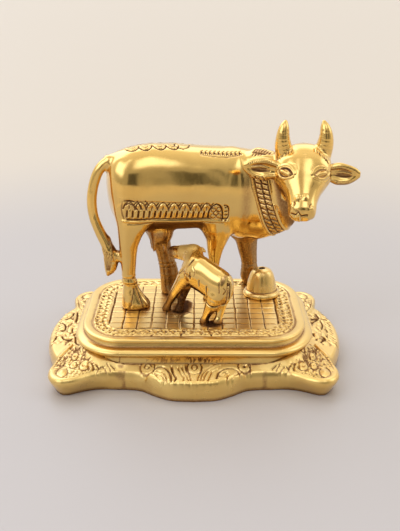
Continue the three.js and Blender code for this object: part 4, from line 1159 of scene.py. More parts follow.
def add_hollow(skin):
    """The hollow from the rim of its mouth up to its roof. Above the rim it has fewer points."""
    lean = LOBE_UNDERCUT * AT_LOBE
    low = skin.add(at_height(rounded_off(outline_ring(-WALL - lean)), 0), HOLLOW_PATINA)
    skin.band(low, 0, ROUND)
    count = ROUND // HOLLOW_SHARE
    rings = [(outline_ring(-WALL - 0.6 * lean), 5)]
    rings += [(platform_ring(out), z) for out, z in HOLLOW_ROWS]
    for k, (ring, z) in enumerate(rings):
        high = skin.add(at_height(ring, z)[::HOLLOW_SHARE], HOLLOW_PATINA)
        if k:
            skin.band(high, low, count)
        else:
            for a in range(count):
                b = (a + 1) % count
                start = a * HOLLOW_SHARE
                for step in range(HOLLOW_SHARE):
                    near = a if step < HOLLOW_SHARE / 2 else b
                    skin.faces.append([low + start + step, high + near, low + (start + step + 1) % ROUND])
                skin.faces.append([low + start + HOLLOW_SHARE // 2, high + a, high + b])
        low = high
    middle = skin.add(np.array([[0, 0, HOLLOW_ROOF]]), HOLLOW_PATINA)
    skin.faces += [[low + (a + 1) % count, low + a, middle] for a in range(count)]


def plinth_mesh():
    """The plinth: its outside, the plate's tiles, and the hollow under it."""
    skin = Skin()
    for rings, dark in (tier_rings(), edge_rings(), border_rings()):
        for ring, stain_and_shade in zip(rings, dark):
            last = skin.add(ring, stain_and_shade)
            if last:
                skin.band(last - ROUND, last, ROUND)
    flat, faces, order = tile_panel(ring[:, :2])
    extra = [n for n in range(len(flat)) if order[n] >= ROUND]
    tiles = Engraving(flat[extra])
    tile_grooves(tiles)
    solder_and_shadow(tiles)
    first = skin.add(np.column_stack([flat[extra], PLATE_TOP + tiles.height]), tiles.dark)
    number = {n: last + order[n] for n in range(len(flat))}
    number.update({n: first + k for k, n in enumerate(extra)})
    skin.faces += [[number[n] for n in face] for face in faces]
    add_hollow(skin)
    return skin.finish("plinth")


# The chasing of the figures.
def cavity(casting, points, normals, reaches=(1.2, 2.6, 5)):
    """How closed in each point is, from 0 in the open to 1 in a deep recess."""
    total = np.zeros(len(points))
    for reach in reaches:
        probe = points + normals * reach
        gap = np.minimum(casting.distance(probe), probe[:, 2] - PLATE_TOP)
        total += np.clip(1 - gap / reach, 0, 1)
    return total / len(reaches)


class Chasing:
    """Gathers what the engravings of several parts of a figure do to its points."""

    def __init__(self, casting, mesh):
        self.mesh = mesh
        self.points = read(mesh.vertices, "co")
        self.normals = casting.normals(self.points)
        self.height = np.zeros(len(self.points))
        # Recesses hold patina and painted shade, and faces turned down get painted shade.
        recess = 0.65 * ramp(cavity(casting, self.points, self.normals), 0.34, 0.85)
        self.dark = np.maximum(recess, 0.55 * ramp(-self.normals[:, 2], 0.2, 0.75))

    def calm(self, share):
        """Takes this share of the patina and painted shade away."""
        self.dark *= 1 - share

    # Darkens points to at least strength: stains, and painted shade where a figure's shade falls.
    def stain_and_shade(self, strength):
        self.dark = np.maximum(self.dark, strength)

    def work(self, chosen, flat, draw, *details):
        """Engraves the chosen points: draw paints on their flat coordinates."""
        index = np.flatnonzero(chosen)
        engraving = Engraving(flat[index], 0, -1)
        draw(engraving, *details)
        self.height[index] += engraving.height
        painted = engraving.dark > -1
        index = index[painted]
        dark = engraving.dark[painted]
        old = self.dark[index] * (1 - 0.6 * np.clip(dark + 1, 0, 1))
        self.dark[index] = np.maximum(old, np.clip(dark, 0, 1))

    def finish(self):
        wave = 0.05 * ripple(self.points, 13, 21) + 0.008 * ripple(self.points, 4.5, 22)
        points = self.points + self.normals * (self.height + wave)[:, None]
        points[:, 2] = np.maximum(points[:, 2], PLATE_TOP)
        set_points(self.mesh, points)
        return self.mesh, self.dark


def flank_height(local):
    """Height on the flank, measured square to the border, which slants down towards the head."""
    return local[:, 2] + 0.0764 * (local[:, 0] + 15.6)


# The flank border's ends, the pitch of its reeds, and the beads of the disc at its head end.
FLANK_LEFT = -30.2
FLANK_RIGHT = 12.4
FIRST_REED = -28.8
REED_PITCH = 2.2
REEDS = 17
DISC_BEADS = [(6, 42.2), (8.3, 42.4), (7.1, 40.8), (6, 39.4), (8.4, 39.6)]


def draw_flank(e, near):
    """The border of reeds under arches, with a beaded disc. The far side has no arches and no beads."""
    left, right = FLANK_LEFT, FLANK_RIGHT
    e.stroke([(left + 1, 41), (3, 41)], 3.6, 0.1, 0.15, 0.25)
    e.groove([(left + 1.5, 37.9), (-10, 38.1), (right - 1, 38.4)], 0.5, 0.4, 0.85)
    e.curve([(left, 37.1), (-10, 37.1), (right, 37.2)], 0.7, 0.45, 0, 0.8)
    for u in range(-18, 4 if near else -18):
        e.stroke([(u, 35.9), (u + 0.25, 36.8)], 0.3, -0.15, 0.6)
    e.groove([(left + 2, 36.2), (-12, 36.3), (right - 2, 36.5)], 0.34, 0.2, 0.6)
    reeds = [FIRST_REED + REED_PITCH * k for k in range(REEDS)]
    for u in reeds:
        e.stroke([(u + 1.1, 39.3), (u + 1.1, 41.2)], 0.95, 0.4, 0, 0.8)
    for u in reeds:
        e.stroke([(u, 38.9), (u + 0.3, 41.4)], 0.44, -0.4, 0.85, 0.7)
    for k in range(8 if near else 0):
        u = FIRST_REED + 1.1 + 2 * REED_PITCH * k
        arch = [(u - 2.3, 42), (u - 1.4, 44.1), (u, 45.1), (u + 1.4, 44.1), (u + 2.3, 42)]
        e.curve([(a, b - 0.7) for a, b in arch[1:-1]], 0.7, 0.35, 0, 0.8)
        e.groove(arch, 0.38, 0.35, 0.8)
        e.groove([(u - 0.1, 42.3), (u + 0.1, 43.5)], 0.32, 0.25, 0.8)
        e.groove([(u + 1.9, 44), (u + 2.7, 45)], 0.42, 0.35, 0.9)
    e.groove([(left + 0.6, 45.4), (-20, 45.5), (-6, 45.2), (3.4, 44.7)], 0.3, 0.2, 0.55)
    if near:
        e.groove([(left + 1.4, 45.3), (-27.6, 45.5), (-25.8, 45.2)], 0.5, 0.45, 0.85)
        e.groove([(-29, 43.6), (-27.8, 44.3), (-25.8, 43.4), (-24.6, 42)], 0.4, 0.4, 0.8)
        e.groove([(-24.6, 45.6), (-23.4, 43.4), (-22.8, 42.2)], 0.42, 0.4, 0.85)
        e.groove([(-21.4, 45.6), (-20.2, 44)], 0.45, 0.4, 0.85)
    e.groove([(left, 45), (left - 0.3, 41), (left + 0.6, 37.6)], 0.3, 0.2, 0.5)
    e.patch((7, 41), (3.4, 4), 0.1, 0.1, 0.3)
    e.groove([(3.8, 39), (4.5, 42.4), (7, 44.6), (9.3, 43.2), (9.9, 40), (9.9, 37.6)], 0.48, 0.45, 1)
    if near:
        for bead in DISC_BEADS:
            e.patch(bead, 0.95, 0.4, 0, 0.8)
            e.ring(bead, 0.95, 0.3, -0.15, 0.7)
        for w in (38.4, 40, 41.6, 43.2):
            e.groove([(10.7, w), (11.9, w + 0.2)], 0.34, 0.3, 0.85)
    e.groove([(10.4, 44.2), (11.8, 43.8), (12.4, 42), (12.3, 39), (11.2, 37.4)], 0.42, 0.4, 0.95)


def collar_slant(w):
    """Where the collar's middle is along the neck at height w."""
    return mix(21.8, 16.0, (w - 30) / 21)


# The collar's middle line, the pitch of its beads, and the edges of their two rows.
COLLAR = np.array([(0.6, 28), (0.6, 55)])
BEAD_PITCH = 2.05
BEAD_ROWS = [(-2.2, 0.4), (0.6, 3.2)]


def draw_collar(e, near):
    """A band of two rows of square beads, each with a dimple, between raised rims."""
    e.stroke(COLLAR, 3.5, 0.12, 0.2, 0.14)
    for side in (-3.5, 3.4):
        e.stroke(COLLAR + (side, 0), 0.5, 0.4, 0, 0.8)
        e.stroke(COLLAR + (side * 0.8, 0), 0.34, -0.25, 0.8, 0.8)
    e.stroke(COLLAR + (-0.1, 0), 0.42, -0.4, 0.9, 0.8)
    chance = np.random.default_rng(9)
    for k in range(13 if near else 0):
        w = 28.6 + BEAD_PITCH * k + chance.uniform(-0.15, 0.15)
        tilt = mix(0.5, 0.15, k / 12)
        for low, high in BEAD_ROWS:
            # Beads high in the row nearer the head are darker: painted shade under the head.
            dark = 0.8 if k < 9 or high < 1 else 0.95
            e.stroke([(low, w + tilt), (high, w - tilt)], 0.42, -0.4, dark, 0.7)
            middle = (low + high) / 2 + chance.uniform(-0.1, 0.1)
            e.stroke([(middle - 0.5, w + 0.95), (middle + 0.1, w + 1.2)], 0.32, 0.2, 0.6)
    e.stroke(COLLAR + (-4.3, 0), 0.3, -0.2, 0.5, 0.9)
    e.stroke(COLLAR + (4.1, 0), 0.3, -0.2, 0.4, 0.9)


# The face, in millimetres across it and down it from the poll: corners of the eye, tips of hair and mouth.
EYE_OUTER = np.array([10.0, 7.4])
EYE_INNER = np.array([4.1, 11.3])
HAIR = [
    (-10.2, 2.9), (-9.3, 1.8), (-8.2, 1.4), (-6.9, 1), (-6, 0.3), (-4.9, -0.3), (4, -0.6), (5.1, -0.2),
    (6.1, 0.9), (7.2, 1.6), (8.1, 2.5), (9, 3.3),
]
LIPS = [(-4.2, 25.3), (-3.2, 25.7), (-2.4, 26), (-1.3, 25.3), (-0.3, 26.4), (1.2, 26.1), (2.2, 26)]


def draw_eye(e, sx):
    """An almond eye in its socket: lids round a ball, with the far eye turned away and shallower."""
    outer, inner = EYE_OUTER * (sx, 1), EYE_INNER * (sx, 1)
    axis = inner - outer
    lower = np.array([-axis[1], axis[0]]) / np.linalg.norm(axis)
    lower *= math.copysign(1, lower[1])
    share = np.linspace(0, 1, 13)[:, None]
    swell = np.sin(math.pi * share) ** 0.8
    tall, inside, lid = (1.8, 0.85, 0.95) if sx < 0 else (1.55, 0.5, 0.55)
    middle = (outer + inner) / 2
    line = outer + axis * share

    def lid_line(side, height, gap=0.0):
        return line + side * lower * (swell * height + gap)

    top = lid_line(-1, tall)
    rim = np.vstack([top, lid_line(1, tall)[::-1]])
    ends = np.array([outer, inner])
    e.patch(middle, (5.8, 4.8), -0.35, None, 0.9)
    e.stroke(lid_line(-1, tall, 1.3), 0.8, 0.2, 0, 1)
    if sx > 0:
        e.stroke(lid_line(-1, 1.6, 1.9), 0.3, -0.1, 0.4)
        e.stroke(lid_line(1, 1.8, 0.9), 0.3, -0.1, 0.3)
    e.stroke(rim, 0.75, 0.3, 0, 0.8)
    e.stroke(mix(rim, middle, 0.24), 0.42, -0.3, inside, 0.75)
    e.stroke(top[2:12], 0.5, -0.25, lid, 0.75)
    e.stroke(mix(ends, middle, 0.5), 1.15, 0.5, 0, 0.9)
    e.stroke(mix(ends, middle, 0.6) + lower * 0.3, 0.24, 0.35, 0.35)


def draw_face(e):
    """Eyes, two small rings on the forehead, hair at the horns' roots, nostrils and mouth."""
    for sx in (-1, 1):
        draw_eye(e, sx)
    e.ring((0.4, 2.4), 0.9, 0.22, -0.06, 0.2)
    e.ring((-3.6, 6.6), 0.4, 0.22, -0.06, 0.2)
    chance = np.random.default_rng(12)
    for s, t in HAIR:
        lean = 0.1 * s + chance.uniform(-0.2, 0.2)
        lock = [(s - lean * 0.4, t - 0.6), (s + lean * 0.4, t + 0.7)]
        e.stroke(lock, 0.32, -0.25, chance.uniform(0.55, 0.85), 0.8)
        e.stroke([(s + 0.6, t - 0.6), (s + 0.7 + lean * 0.3, t + 0.6)], 0.36, 0.15, 0, 0.8)
    for s, t in ((-1.9, 20), (1.1, 19.6)):
        e.patch((s, t), (1.5, 1.9), 0.6, 0, 1)
    e.groove([(-0.4, 19.4), (-0.4, 20.8)], 0.3, 0.2, 0.45)
    for s, t, hand in ((-3, 22, -1), (3, 22.8, 1)):
        e.patch((s + hand * 0.8, t + 0.8), (1.3, 1.6), 0.45, 0, 1)
        e.curve([(s + hand * 0.2, t - 0.7), (s - hand * 0.1, t - 0.1), (s, t + 0.6)], 0.42, -0.4, 0.8, 0.8)
    e.stroke(np.array(LIPS) + (0, 0.9), 0.5, 0.3, 0, 0.9)
    e.stroke(LIPS, 0.36, -0.4, 0.9, 0.8)
    e.groove([(-1.2, 25.1), (-2.2, 24.6)], 0.3, 0.25, 0.7)


def draw_back(e):
    """The chased motif over the spine: small scallops and a running scroll."""
    for u, v in ((-13.4, -4.6), (-8.2, -4.6), (-19, -4.2), (-24, -3)):
        bowl = [(u - 2.6, v + 2), (u - 1.8, v), (u, v - 1.1), (u + 1.8, v), (u + 2.6, v + 2)]
        e.groove(bowl, 0.55, 0.35, 0.95)
        e.curve([(a, b + 0.9) for a, b in bowl[1:-1]], 0.6, 0.2, 0, 0.8)
        e.groove([(u - 0.9, v + 1.6), (u, v + 0.9), (u + 0.9, v + 1.6)], 0.4, 0.25, 0.8)
    e.groove([(-4.6, -5.2), (-6.6, -4), (-7.2, -1.6), (-5.8, 0.6)], 0.55, 0.35, 0.95)
    e.groove([(-4.6, -5.2), (-2, -3.6), (-0.6, 0)], 0.5, 0.3, 0.85)
    for u in (-22.6, -20, -17.4, -15):
        e.patch((u, -1.6), 0.5, -0.2, 0.85)
    for k in range(6):
        u = -25 + 4.4 * k
        e.groove([(u, 1), (u + 1.6, 3), (u + 3.4, 2.2), (u + 4.2, 0.6)], 0.42, 0.25, 0.75)


def draw_dashes(e):
    """A row of small leaves and strokes in front of the motif."""
    e.groove([(2, -7.6), (10, -8), (19, -7.2)], 0.3, 0.15, 0.45)
    for k in range(10):
        u = 2.4 + 1.75 * k
        e.groove([(u, -7), (u + 0.5, -5.6)], 0.45, 0.3, 0.95)
        e.groove([(u + 0.9, -7.1), (u + 0.4, -6)], 0.4, 0.3, 0.9)
        e.patch((u + 1, -5.3), 0.4, -0.2, 0.7)


def draw_crest(e):
    """Two rows of short dark strokes in a shallow panel on the crest of the neck."""
    e.curve([(11, -2.4), (14, -2.7), (17.6, -3.2)], 1.9, -0.15, 0.3, 0.3)
    for k in range(7):
        t = 10.2 + 1.15 * k
        e.groove([(t, -2.6), (t + 0.25, -0.9)], 0.42, 0.35, 0.95)
        e.groove([(t + 0.3, -4.6), (t + 0.5, -3.7)], 0.42, 0.35, 0.95)
    e.groove([(9.8, -3), (13, -3.2), (18, -3.6)], 0.36, 0.3, 0.95)


def draw_ear(e):
    """Short hair round the ear's edge, and a ridge and a fold inside it."""
    for sy in (-1, 1):
        for k in range(12):
            t = 1.6 + 0.8 * k
            reach = np.interp(t, [0, 4, 8, 11.5], [3.5, 4, 3.4, 1.4])
            e.stroke([(t, sy * (reach - 0.2)), (t + 0.25, sy * (reach - 0.8))], 0.24, -0.12, 0.5)
    e.patch((6.2, 0.1), (5, 2.5), -0.3, 0.6, 0.5)
    e.curve([(2.4, 0.4), (5.4, 0.8), (9.4, 0.2)], 0.6, 0.2, 0.15, 0.8)
    e.groove([(2, -0.6), (5, -0.9), (9, -0.5)], 0.36, 0.3, 0.85)


def draw_tuft(e):
    """Locks of hair down the tail's end."""
    for k in range(6):
        top = (-39 + 1.15 * k, 46.8 - 0.9 * k)
        path = [top, (-37.2 + 0.85 * k, 42.6), (-35.9 + 0.55 * k, 39), (-35.3 + 0.25 * k, 35.4)]
        e.groove(path, 0.32, 0.25, 0.6)


def draw_horn(e):
    """Faint growth rings."""
    for k in range(6):
        z = 82.6 + 1.7 * k
        e.stroke([(-3, z + 0.5), (0, z - 0.2), (3, z + 0.4)], 0.3, -0.12, 0.4)


def draw_hoof(e):
    """The cleft hoof: a bright wedge between two dark cuts, its sides darkened with painted shade."""
    for apex, toe in (((-26.4, 9.2), (-28.6, 0.6)), ((-25.4, 9.2), (-22.8, 0.6))):
        e.groove([apex, ((apex[0] + toe[0]) / 2, 4.8), toe], 0.5, 0.35, 0.75)
    # The hoof's two sides get painted shade.
    e.stroke([(-21.6, 6.5), (-20.2, 1)], 1.7, 0, 0.6, 0.8)
    e.stroke([(-30.4, 5), (-30.4, 1)], 0.8, 0, 0.4, 0.8)


def draw_rings(e, heights):
    for w in heights:
        e.stroke([(-FAR, w), (FAR, w)], 0.36, -0.25, 0.7)
        e.stroke([(-FAR, w + 0.75), (FAR, w + 0.75)], 0.5, 0.15, 0)


# The heights of the rings on each leg.
LEG_RINGS = [
    (NEAR_HIND, (10.9, 13.4)), (FAR_HIND, (8.2, 12.4, 14, 18.4)),
    (NEAR_FRONT, (11, 13)), (FAR_FRONT, (7.2, 9.8)),
]


def chase_cow(casting, mesh):
    """Cuts all ornament of the cow, and lays the patina and the painted shade that its photograph shows."""
    chasing = Chasing(casting, mesh)
    points, normals = chasing.points, chasing.normals
    x, y, z = points.T
    cow = COW.local(points)
    u, v, w = cow.T
    neck = NECK_FRAME.local(points)
    head = HEAD_FRAME.local(points)
    down, across, out = head.T
    facing = normals @ COW.side
    neck_facing = normals @ NECK_FRAME.side
    up = normals @ HEAD_FRAME.up

    # The rump by the tail, the near foreleg and the chest are clean. Painted shade marks a fold down the neck
    # by the ear.
    chasing.calm(0.7 * (x < -29) * ramp(z, 46, 56))
    chasing.calm(0.6 * (u > 0) * (v < -3) * (w < 36) * ramp(-facing, 0, 0.6))
    chasing.calm(0.6 * ramp(u, 13, 17) * ramp(w, 26, 30) * ramp(46 - w, 0, 4))
    fold = (x - np.interp(z, [50, 66, 78], [20.2, 21.4, 20.2])) / 2.8
    fold = np.exp(-fold ** 2) * ramp(z, 44, 60) * ramp(82 - z, 0, 14)
    chasing.stain_and_shade(0.3 * fold * (y < 12) * (facing < -0.2))

    # The borders of both flanks, and the collar where the head doesn't cover it.
    level = flank_height(cow)
    flat = np.stack([u, level], 1)
    body = between(u, -33, 14) & between(level, 35, 47)
    chasing.work(body & (v < -8) & (facing < -0.3), flat, draw_flank, True)
    chasing.work(body & (v > 8) & (facing > 0.3), flat, draw_flank, False)
    leaning = np.stack([neck[:, 0] - collar_slant(neck[:, 2]), neck[:, 2]], 1)
    band = between(leaning[:, 0], -5, 5) & between(neck[:, 2], 24, 55) & (down < 30)
    band &= (np.abs(across) > 12) | (out < -9.5) | (down > 27)
    chasing.work(band & (neck[:, 1] < 2.5) & (neck_facing < 0.35), leaning, draw_collar, True)
    chasing.work(band & (neck[:, 1] > 2.5) & (neck_facing > 0.3), leaning, draw_collar, False)
    # The face, the back, the crest of the neck, the ears, the tail's end, the horns and the legs' rings.
    front = (out > -6) & (down > -4) & between(across, -11.5, 11.5) & (up > -0.5)
    front &= (up > 0.05) | (down > 23)
    chasing.work(front, np.stack([across, down], 1), draw_face)
    chasing.work((w > 58) & between(v, -9, 9), cow[:, :2], draw_back)
    chasing.work((w > 58) & between(u, 1, 21), cow[:, :2], draw_dashes)
    chasing.work((neck[:, 2] > 58) & (neck[:, 0] > 6.5) & (down < -1), neck[:, :2], draw_crest)
    for place in EAR_FRAMES:
        ear = place.local(points)
        toward = 1 if place.side[1] < 0 else -1
        chosen = np.all((ear > (0.5, -3, -5)) & (ear < (12.6, 3, 5)), axis=1)
        chasing.work(chosen & (normals @ place.side * toward > 0), ear[:, [0, 2]], draw_ear)
    chasing.work((x < -31.4) & between(z, 31, 50), points[:, [0, 2]], draw_tuft)
    for sx, middle in HORNS:
        inner = between(x, middle - 5, middle + 5) & (z > 81) & (normals[:, 0] * sx < 0.25)
        chasing.work(inner, points[:, [0, 2]] - (middle, 0), draw_horn)
    for rows, heights in LEG_RINGS:
        middle, back, toe = [np.interp(w, *np.array(rows).T[[0, i]]) for i in (1, 3, 4)]
        chosen = between(v, middle - 6, middle + 6) & (w < 20) & between(u, back - 1, toe + 1)
        chasing.work(chosen, cow[:, [0, 2]], draw_rings, heights)

    # The near legs' inner sides, the belly, the neck behind the face, the far legs and the udder get painted
    # shade.
    chasing.stain_and_shade(0.8 * ramp(facing, 0.1, 0.7) * (v < -1) * (w < 34))
    belly = between(v, -10, 10) & between(u, -24, 13) & between(w, 26, 38)
    chasing.stain_and_shade(np.where(belly, 0.72 * ramp(-normals[:, 2], 0.1, 0.6), -1))
    shaded = ((np.abs(across) > 8.2) & (out < -3)) | (out < -6.5) | (down > 27)
    shaded &= (leaning[:, 0] > 4.2) & (neck[:, 1] < 5) & (neck[:, 2] > 27) & (down > 4) & (x < 40) & (z > 46)
    chasing.stain_and_shade(np.where(shaded, 0.6 * ramp(leaning[:, 0], 4.2, 7.5), -1))
    chasing.stain_and_shade(0.5 * ((v > 1.5) & (w < 33)) * ramp(33 - w, 0, 6))
    chasing.stain_and_shade(0.45 * ((np.abs(u - UDDER[0]) < 7) & (np.abs(v - UDDER[1]) < 6) & (w < 31)))
    chasing.work((w < 9.6) & (v < -7) & (u < -15), cow[:, [0, 2]], draw_hoof)
    return chasing.finish()


CALF_RIBS = [
    [(11.4, 20.2), (11.3, 17.6)], [(7.1, 17.9), (7.2, 15.4)], [(3.1, 16.4), (3.4, 13), (3.6, 9.6)],
]


def draw_calf_side(e):
    """Cuts over the ribs and the thigh, curls along the back and the line of the shoulder."""
    for rib in CALF_RIBS:
        e.groove(rib, 0.42, 0.35, 0.95)
    e.groove([(-2.3, 18.6), (-2.6, 15)], 0.5, 0.2, 0.55)
    e.curve([(3.2, 9.9), (1.4, 8.9), (-0.6, 8.5), (-3, 8.6)], 0.55, -0.45, 1, 0.8)
    for k in range(5):
        t = 15.8 - k
        e.groove([(t, 20.2 - 0.35 * k), (t - 0.5, 19 - 0.3 * k), (t - 1, 20 - 0.3 * k)], 0.3, 0.2, 0.8)
    e.groove([(18.4, 17.6), (15.6, 20.4), (12.8, 22.6), (11.6, 24.6)], 0.45, 0.4, 0.95)
    e.groove([(10.4, 22.4), (9, 20.6), (9.4, 18.8)], 0.3, 0.15, 0.5)


def draw_calf_rump(e):
    e.groove([(1.2, 18.2), (1.5, 15.6), (1.7, 12.6)], 0.6, 0.4, 1)
    e.groove([(3.2, 16.6), (2.4, 15.4), (3.3, 14.2)], 0.32, 0.2, 0.8)
    e.curve([(-4, 8.8), (0, 8.4), (4.4, 8.7)], 0.5, -0.4, 0.95, 0.8)


def draw_calf_head(e):
    """The eye, two folds and the mouth."""
    e.groove([(1.2, 0.6), (2.4, 1.2), (3.6, 0.6), (2.4, -0.1), (1.2, 0.6)], 0.3, 0.2, 0.8)
    for t in (6.4, 8.4):
        e.groove([(t, -1.4), (t + 0.3, 0.2)], 0.3, 0.12, 0.5)
    e.groove([(9.4, -1.6), (11.8, -1)], 0.36, 0.3, 0.85)


def chase_calf(casting, mesh):
    """Cuts the calf's ornament. Its cheek is rough as cast, its muzzle and far foreleg get painted shade, and
    its feet are stained.
    """
    chasing = Chasing(casting, mesh)
    points, normals = chasing.points, chasing.normals
    x, y, z = points.T
    calf = CALF_FRAME.local(points)
    t, s, u = calf.T
    head = CALF_HEAD_FRAME.local(points)
    down, across, out = head.T
    side = normals @ CALF_FRAME.side
    chasing.work((side > 0.25) & (s > 1) & (u > 7.5), calf[:, [0, 2]], draw_calf_side)
    chasing.work((side < -0.25) & (s < -1) & (u > 7.5), calf[:, [0, 2]], draw_calf_side)
    chasing.work((normals @ CALF_FRAME.along < -0.4) & (t < -1) & (u > 7), calf[:, 1:], draw_calf_rump)
    chosen = (down > 0) & between(across, -4.5, 4.5) & (out > -5)
    chosen &= np.abs(normals @ CALF_HEAD_FRAME.side) > 0.25
    chasing.work(chosen, head[:, [0, 2]], draw_calf_head)
    cheek = ramp(down, -3, -0.5) * ramp(8 - down, 0, 2) * ramp(z, 37, 40)
    chasing.calm(0.9 * cheek)
    chasing.dark -= 0.7 * cheek * ramp(0.3 - chasing.dark, 0, 0.2)
    # The muzzle under the cow gets painted shade.
    chasing.stain_and_shade(np.where(down > 7.5, 0.6 * ramp(down, 7.5, 10.5) * (out < 4), -1))
    # The far foreleg gets painted shade.
    between_legs = np.interp(z, [20.4, 24.5, 29], [-8.4, -7, -5])
    far_foreleg = between(x, between_legs, 0) & (y < -1) & (z < 31.5)
    chasing.stain_and_shade(np.where(far_foreleg, 0.9 * ramp(31.5 - z, 0, 3), -1))
    above = z - PLATE_TOP
    chasing.stain_and_shade(np.where(above < 3.4, 0.75 * ramp(3.4 - above, 0, 3), -1))
    return chasing.finish()


# Where the figures' meshes are finer. Each list's next entry splits the faces there once more.
def in_box(low, high, place=None):
    """A test for points between two corners, in the frame of a place where one is given."""
    def test(points):
        local = place.local(points) if place else points
        return np.all((local > low) & (local < high), axis=1)
    return test


def any_of(*tests):
    return lambda points: np.any([test(points) for test in tests], axis=0)


def flank_region(points):
    local = COW.local(points)
    return (local[:, 1] < -7) & between(local[:, 0], -32, 14) & between(flank_height(local), 35.6, 46.6)


def collar_region(points):
    local = NECK_FRAME.local(points)
    across = local[:, 0] - collar_slant(local[:, 2])
    return between(across, -5, 5) & (local[:, 1] < 3) & between(local[:, 2], 24, 55)


COW_FINER = [
    any_of(
        flank_region, collar_region,
        in_box((-32, 7, 34), (14, 15, 48), COW),
        in_box((-4, -11.5, -7), (28, 11.5, 7), HEAD_FRAME),
        in_box((-27, -8, 58), (21, 5, 68), COW),
        in_box((7, -7, 58), (20, 4, 66), NECK_FRAME),
        in_box((-1, -3.5, -5.5), (14, 3.5, 5.5), EAR_FRAMES[0]),
        in_box((-1, -3.5, -5.5), (14, 3.5, 5.5), EAR_FRAMES[1]),
        in_box((-42, -5, 31), (-31.3, 6, 50)),
        in_box((28, -2, 80), (58, 12, 96)),
        in_box((-60, -30, 18), (60, 40, 34)),
    ),
    any_of(
        flank_region, collar_region,
        in_box((4, -11.5, -3), (15, -1.5, 7), HEAD_FRAME),
        in_box((4, 1.5, -3), (15, 11.5, 7), HEAD_FRAME),
        in_box((17.5, -7, -4), (28, 7, 6), HEAD_FRAME),
        in_box((-4, -11.5, -2), (4, 11.5, 7), HEAD_FRAME),
        in_box((-27, -8, 60), (1, 1, 68), COW),
        in_box((1, -9, 58), (21, -4.6, 68), COW),
        in_box((0.5, -3, -5), (13, 3, 5), EAR_FRAMES[0]),
        in_box((-42, -5, 33), (-31.3, 1, 49)),
    ),
]
CALF_FINER = [
    any_of(in_box((-7, -7, 7), (14, 7, 27), CALF_FRAME), in_box((-2, -5, -5), (13, 5, 4), CALF_HEAD_FRAME)),
]


# The incense holder. Its profile runs from the bore's foot over the dome to the flange: radius and height.
HOLDER_X = 28.5
HOLDER_Y = 14.0
BORE_RADIUS = 1.2
BORE_FLOOR = 2.5
AXIS_RADIUS = 0.01
HOLDER_PROFILE = [
    (BORE_RADIUS, 11.3), (1.35, 11.6), (1.7, 11.7), (2.5, 11.5), (3.8, 10.9), (4.9, 9.2), (5.8, 6.2),
    (6.2, 3.6), (6.35, 2.6), (6.6, 2.3), (7.1, 2), (7.6, 1.4), (7.8, 0.8), (7.6, 0.2), (7.4, 0),
]


def holder_mesh(count=96):
    """The holder turned from its profile, dark in the bore and round the flange."""
    floor = [(AXIS_RADIUS, BORE_FLOOR), (BORE_RADIUS, BORE_FLOOR)]
    profile = np.vstack([floor, smooth_path(HOLDER_PROFILE, 4), [(AXIS_RADIUS, 0)]])
    turn = np.linspace(0, 2 * math.pi, count, endpoint=False)
    skin = Skin()
    for r, z in profile:
        ring = np.column_stack([HOLDER_X + r * np.cos(turn), HOLDER_Y + r * np.sin(turn)])
        ring = at_height(ring, PLATE_TOP + z)
        neck = ramp(1 - abs(z - 2.45) / 0.5, 0, 1) * (r > 6)
        stain_and_shade = max(0.95 * ramp(1.5 - r, 0, 0.3), 0.6 * neck, 0.6 * ramp(0.5 - z, 0, 0.5))
        rough = -0.42 + 0.1 * ripple(ring * (1, 1, 0.15), 1.6, 35)
        first = skin.add(ring, stain_and_shade if stain_and_shade > 0.05 else rough)
        if first:
            skin.band(first, first - count, count)
    return skin.finish("holder")


class Nodes:
    """Short ways to make and join the nodes of one node tree."""

    def __init__(self, owner):
        owner.use_nodes = True
        self.tree = owner.node_tree
        self.named = owner.node_tree.nodes

    def new(self, kind):
        return self.tree.nodes.new("ShaderNode" + kind)

    def join(self, value, socket):
        if isinstance(value, bpy.types.NodeSocket):
            self.tree.links.new(value, socket)
        else:
            socket.default_value = value

    def math(self, operation, *values, clamp=False):
        node = self.new("Math")
        node.operation = operation
        node.use_clamp = clamp
        for value, socket in zip(values, node.inputs):
            self.join(value, socket)
        return node.outputs[0]

    def add(self, first, second, clamp=False):
        return self.math("ADD", first, second, clamp=clamp)

    def times(self, first, second):
        return self.math("MULTIPLY", first, second)

    def ramp(self, value, start, end, low=0.0, high=1.0):
        node = self.new("MapRange")
        node.interpolation_type = "SMOOTHSTEP"
        for entry, socket in zip((value, start, end, low, high), node.inputs):
            self.join(entry, socket)
        return node.outputs[0]

    def colour(self, share, first, second):
        """Mixes two colours. Of a mix node's sockets, 6 and 7 are the colours and output 2 their mix."""
        node = self.new("Mix")
        node.data_type = "RGBA"
        self.join(share, node.inputs[0])
        for value, entry in ((first, 6), (second, 7)):
            self.join((*value, 1) if isinstance(value, tuple) else value, node.inputs[entry])
        return node.outputs[2]

    def noise(self, place, scale, detail=3.0, stretch=(1, 1, 1)):
        mapping = self.new("Mapping")
        self.join(place, mapping.inputs["Vector"])
        mapping.inputs["Scale"].default_value = stretch
        node = self.new("TexNoise")
        self.join(mapping.outputs[0], node.inputs["Vector"])
        node.inputs["Scale"].default_value = scale
        node.inputs["Detail"].default_value = detail
        return node.outputs[0]


# What the brass turns to as its patina and painted shade grow: where that starts and ends, and the colour.
PATINA_AND_SHADE_STEPS = [
    (0.05, 0.45, (0.52, 0.295, 0.105)), (0.35, 0.8, (0.2, 0.092, 0.032)), (0.75, 1.0, (0.05, 0.023, 0.011)),
]
WHITE = (1, 1, 1)
DULL_EDGE = (0.32, 0.22, 0.13)
# How much rougher and less metallic the surface is as cast, and how high its grain stands, in metres.
CAST_ROUGHNESS = 0.35
CAST_METALLIC = 0.4
GRAIN_HEIGHT = 0.00002


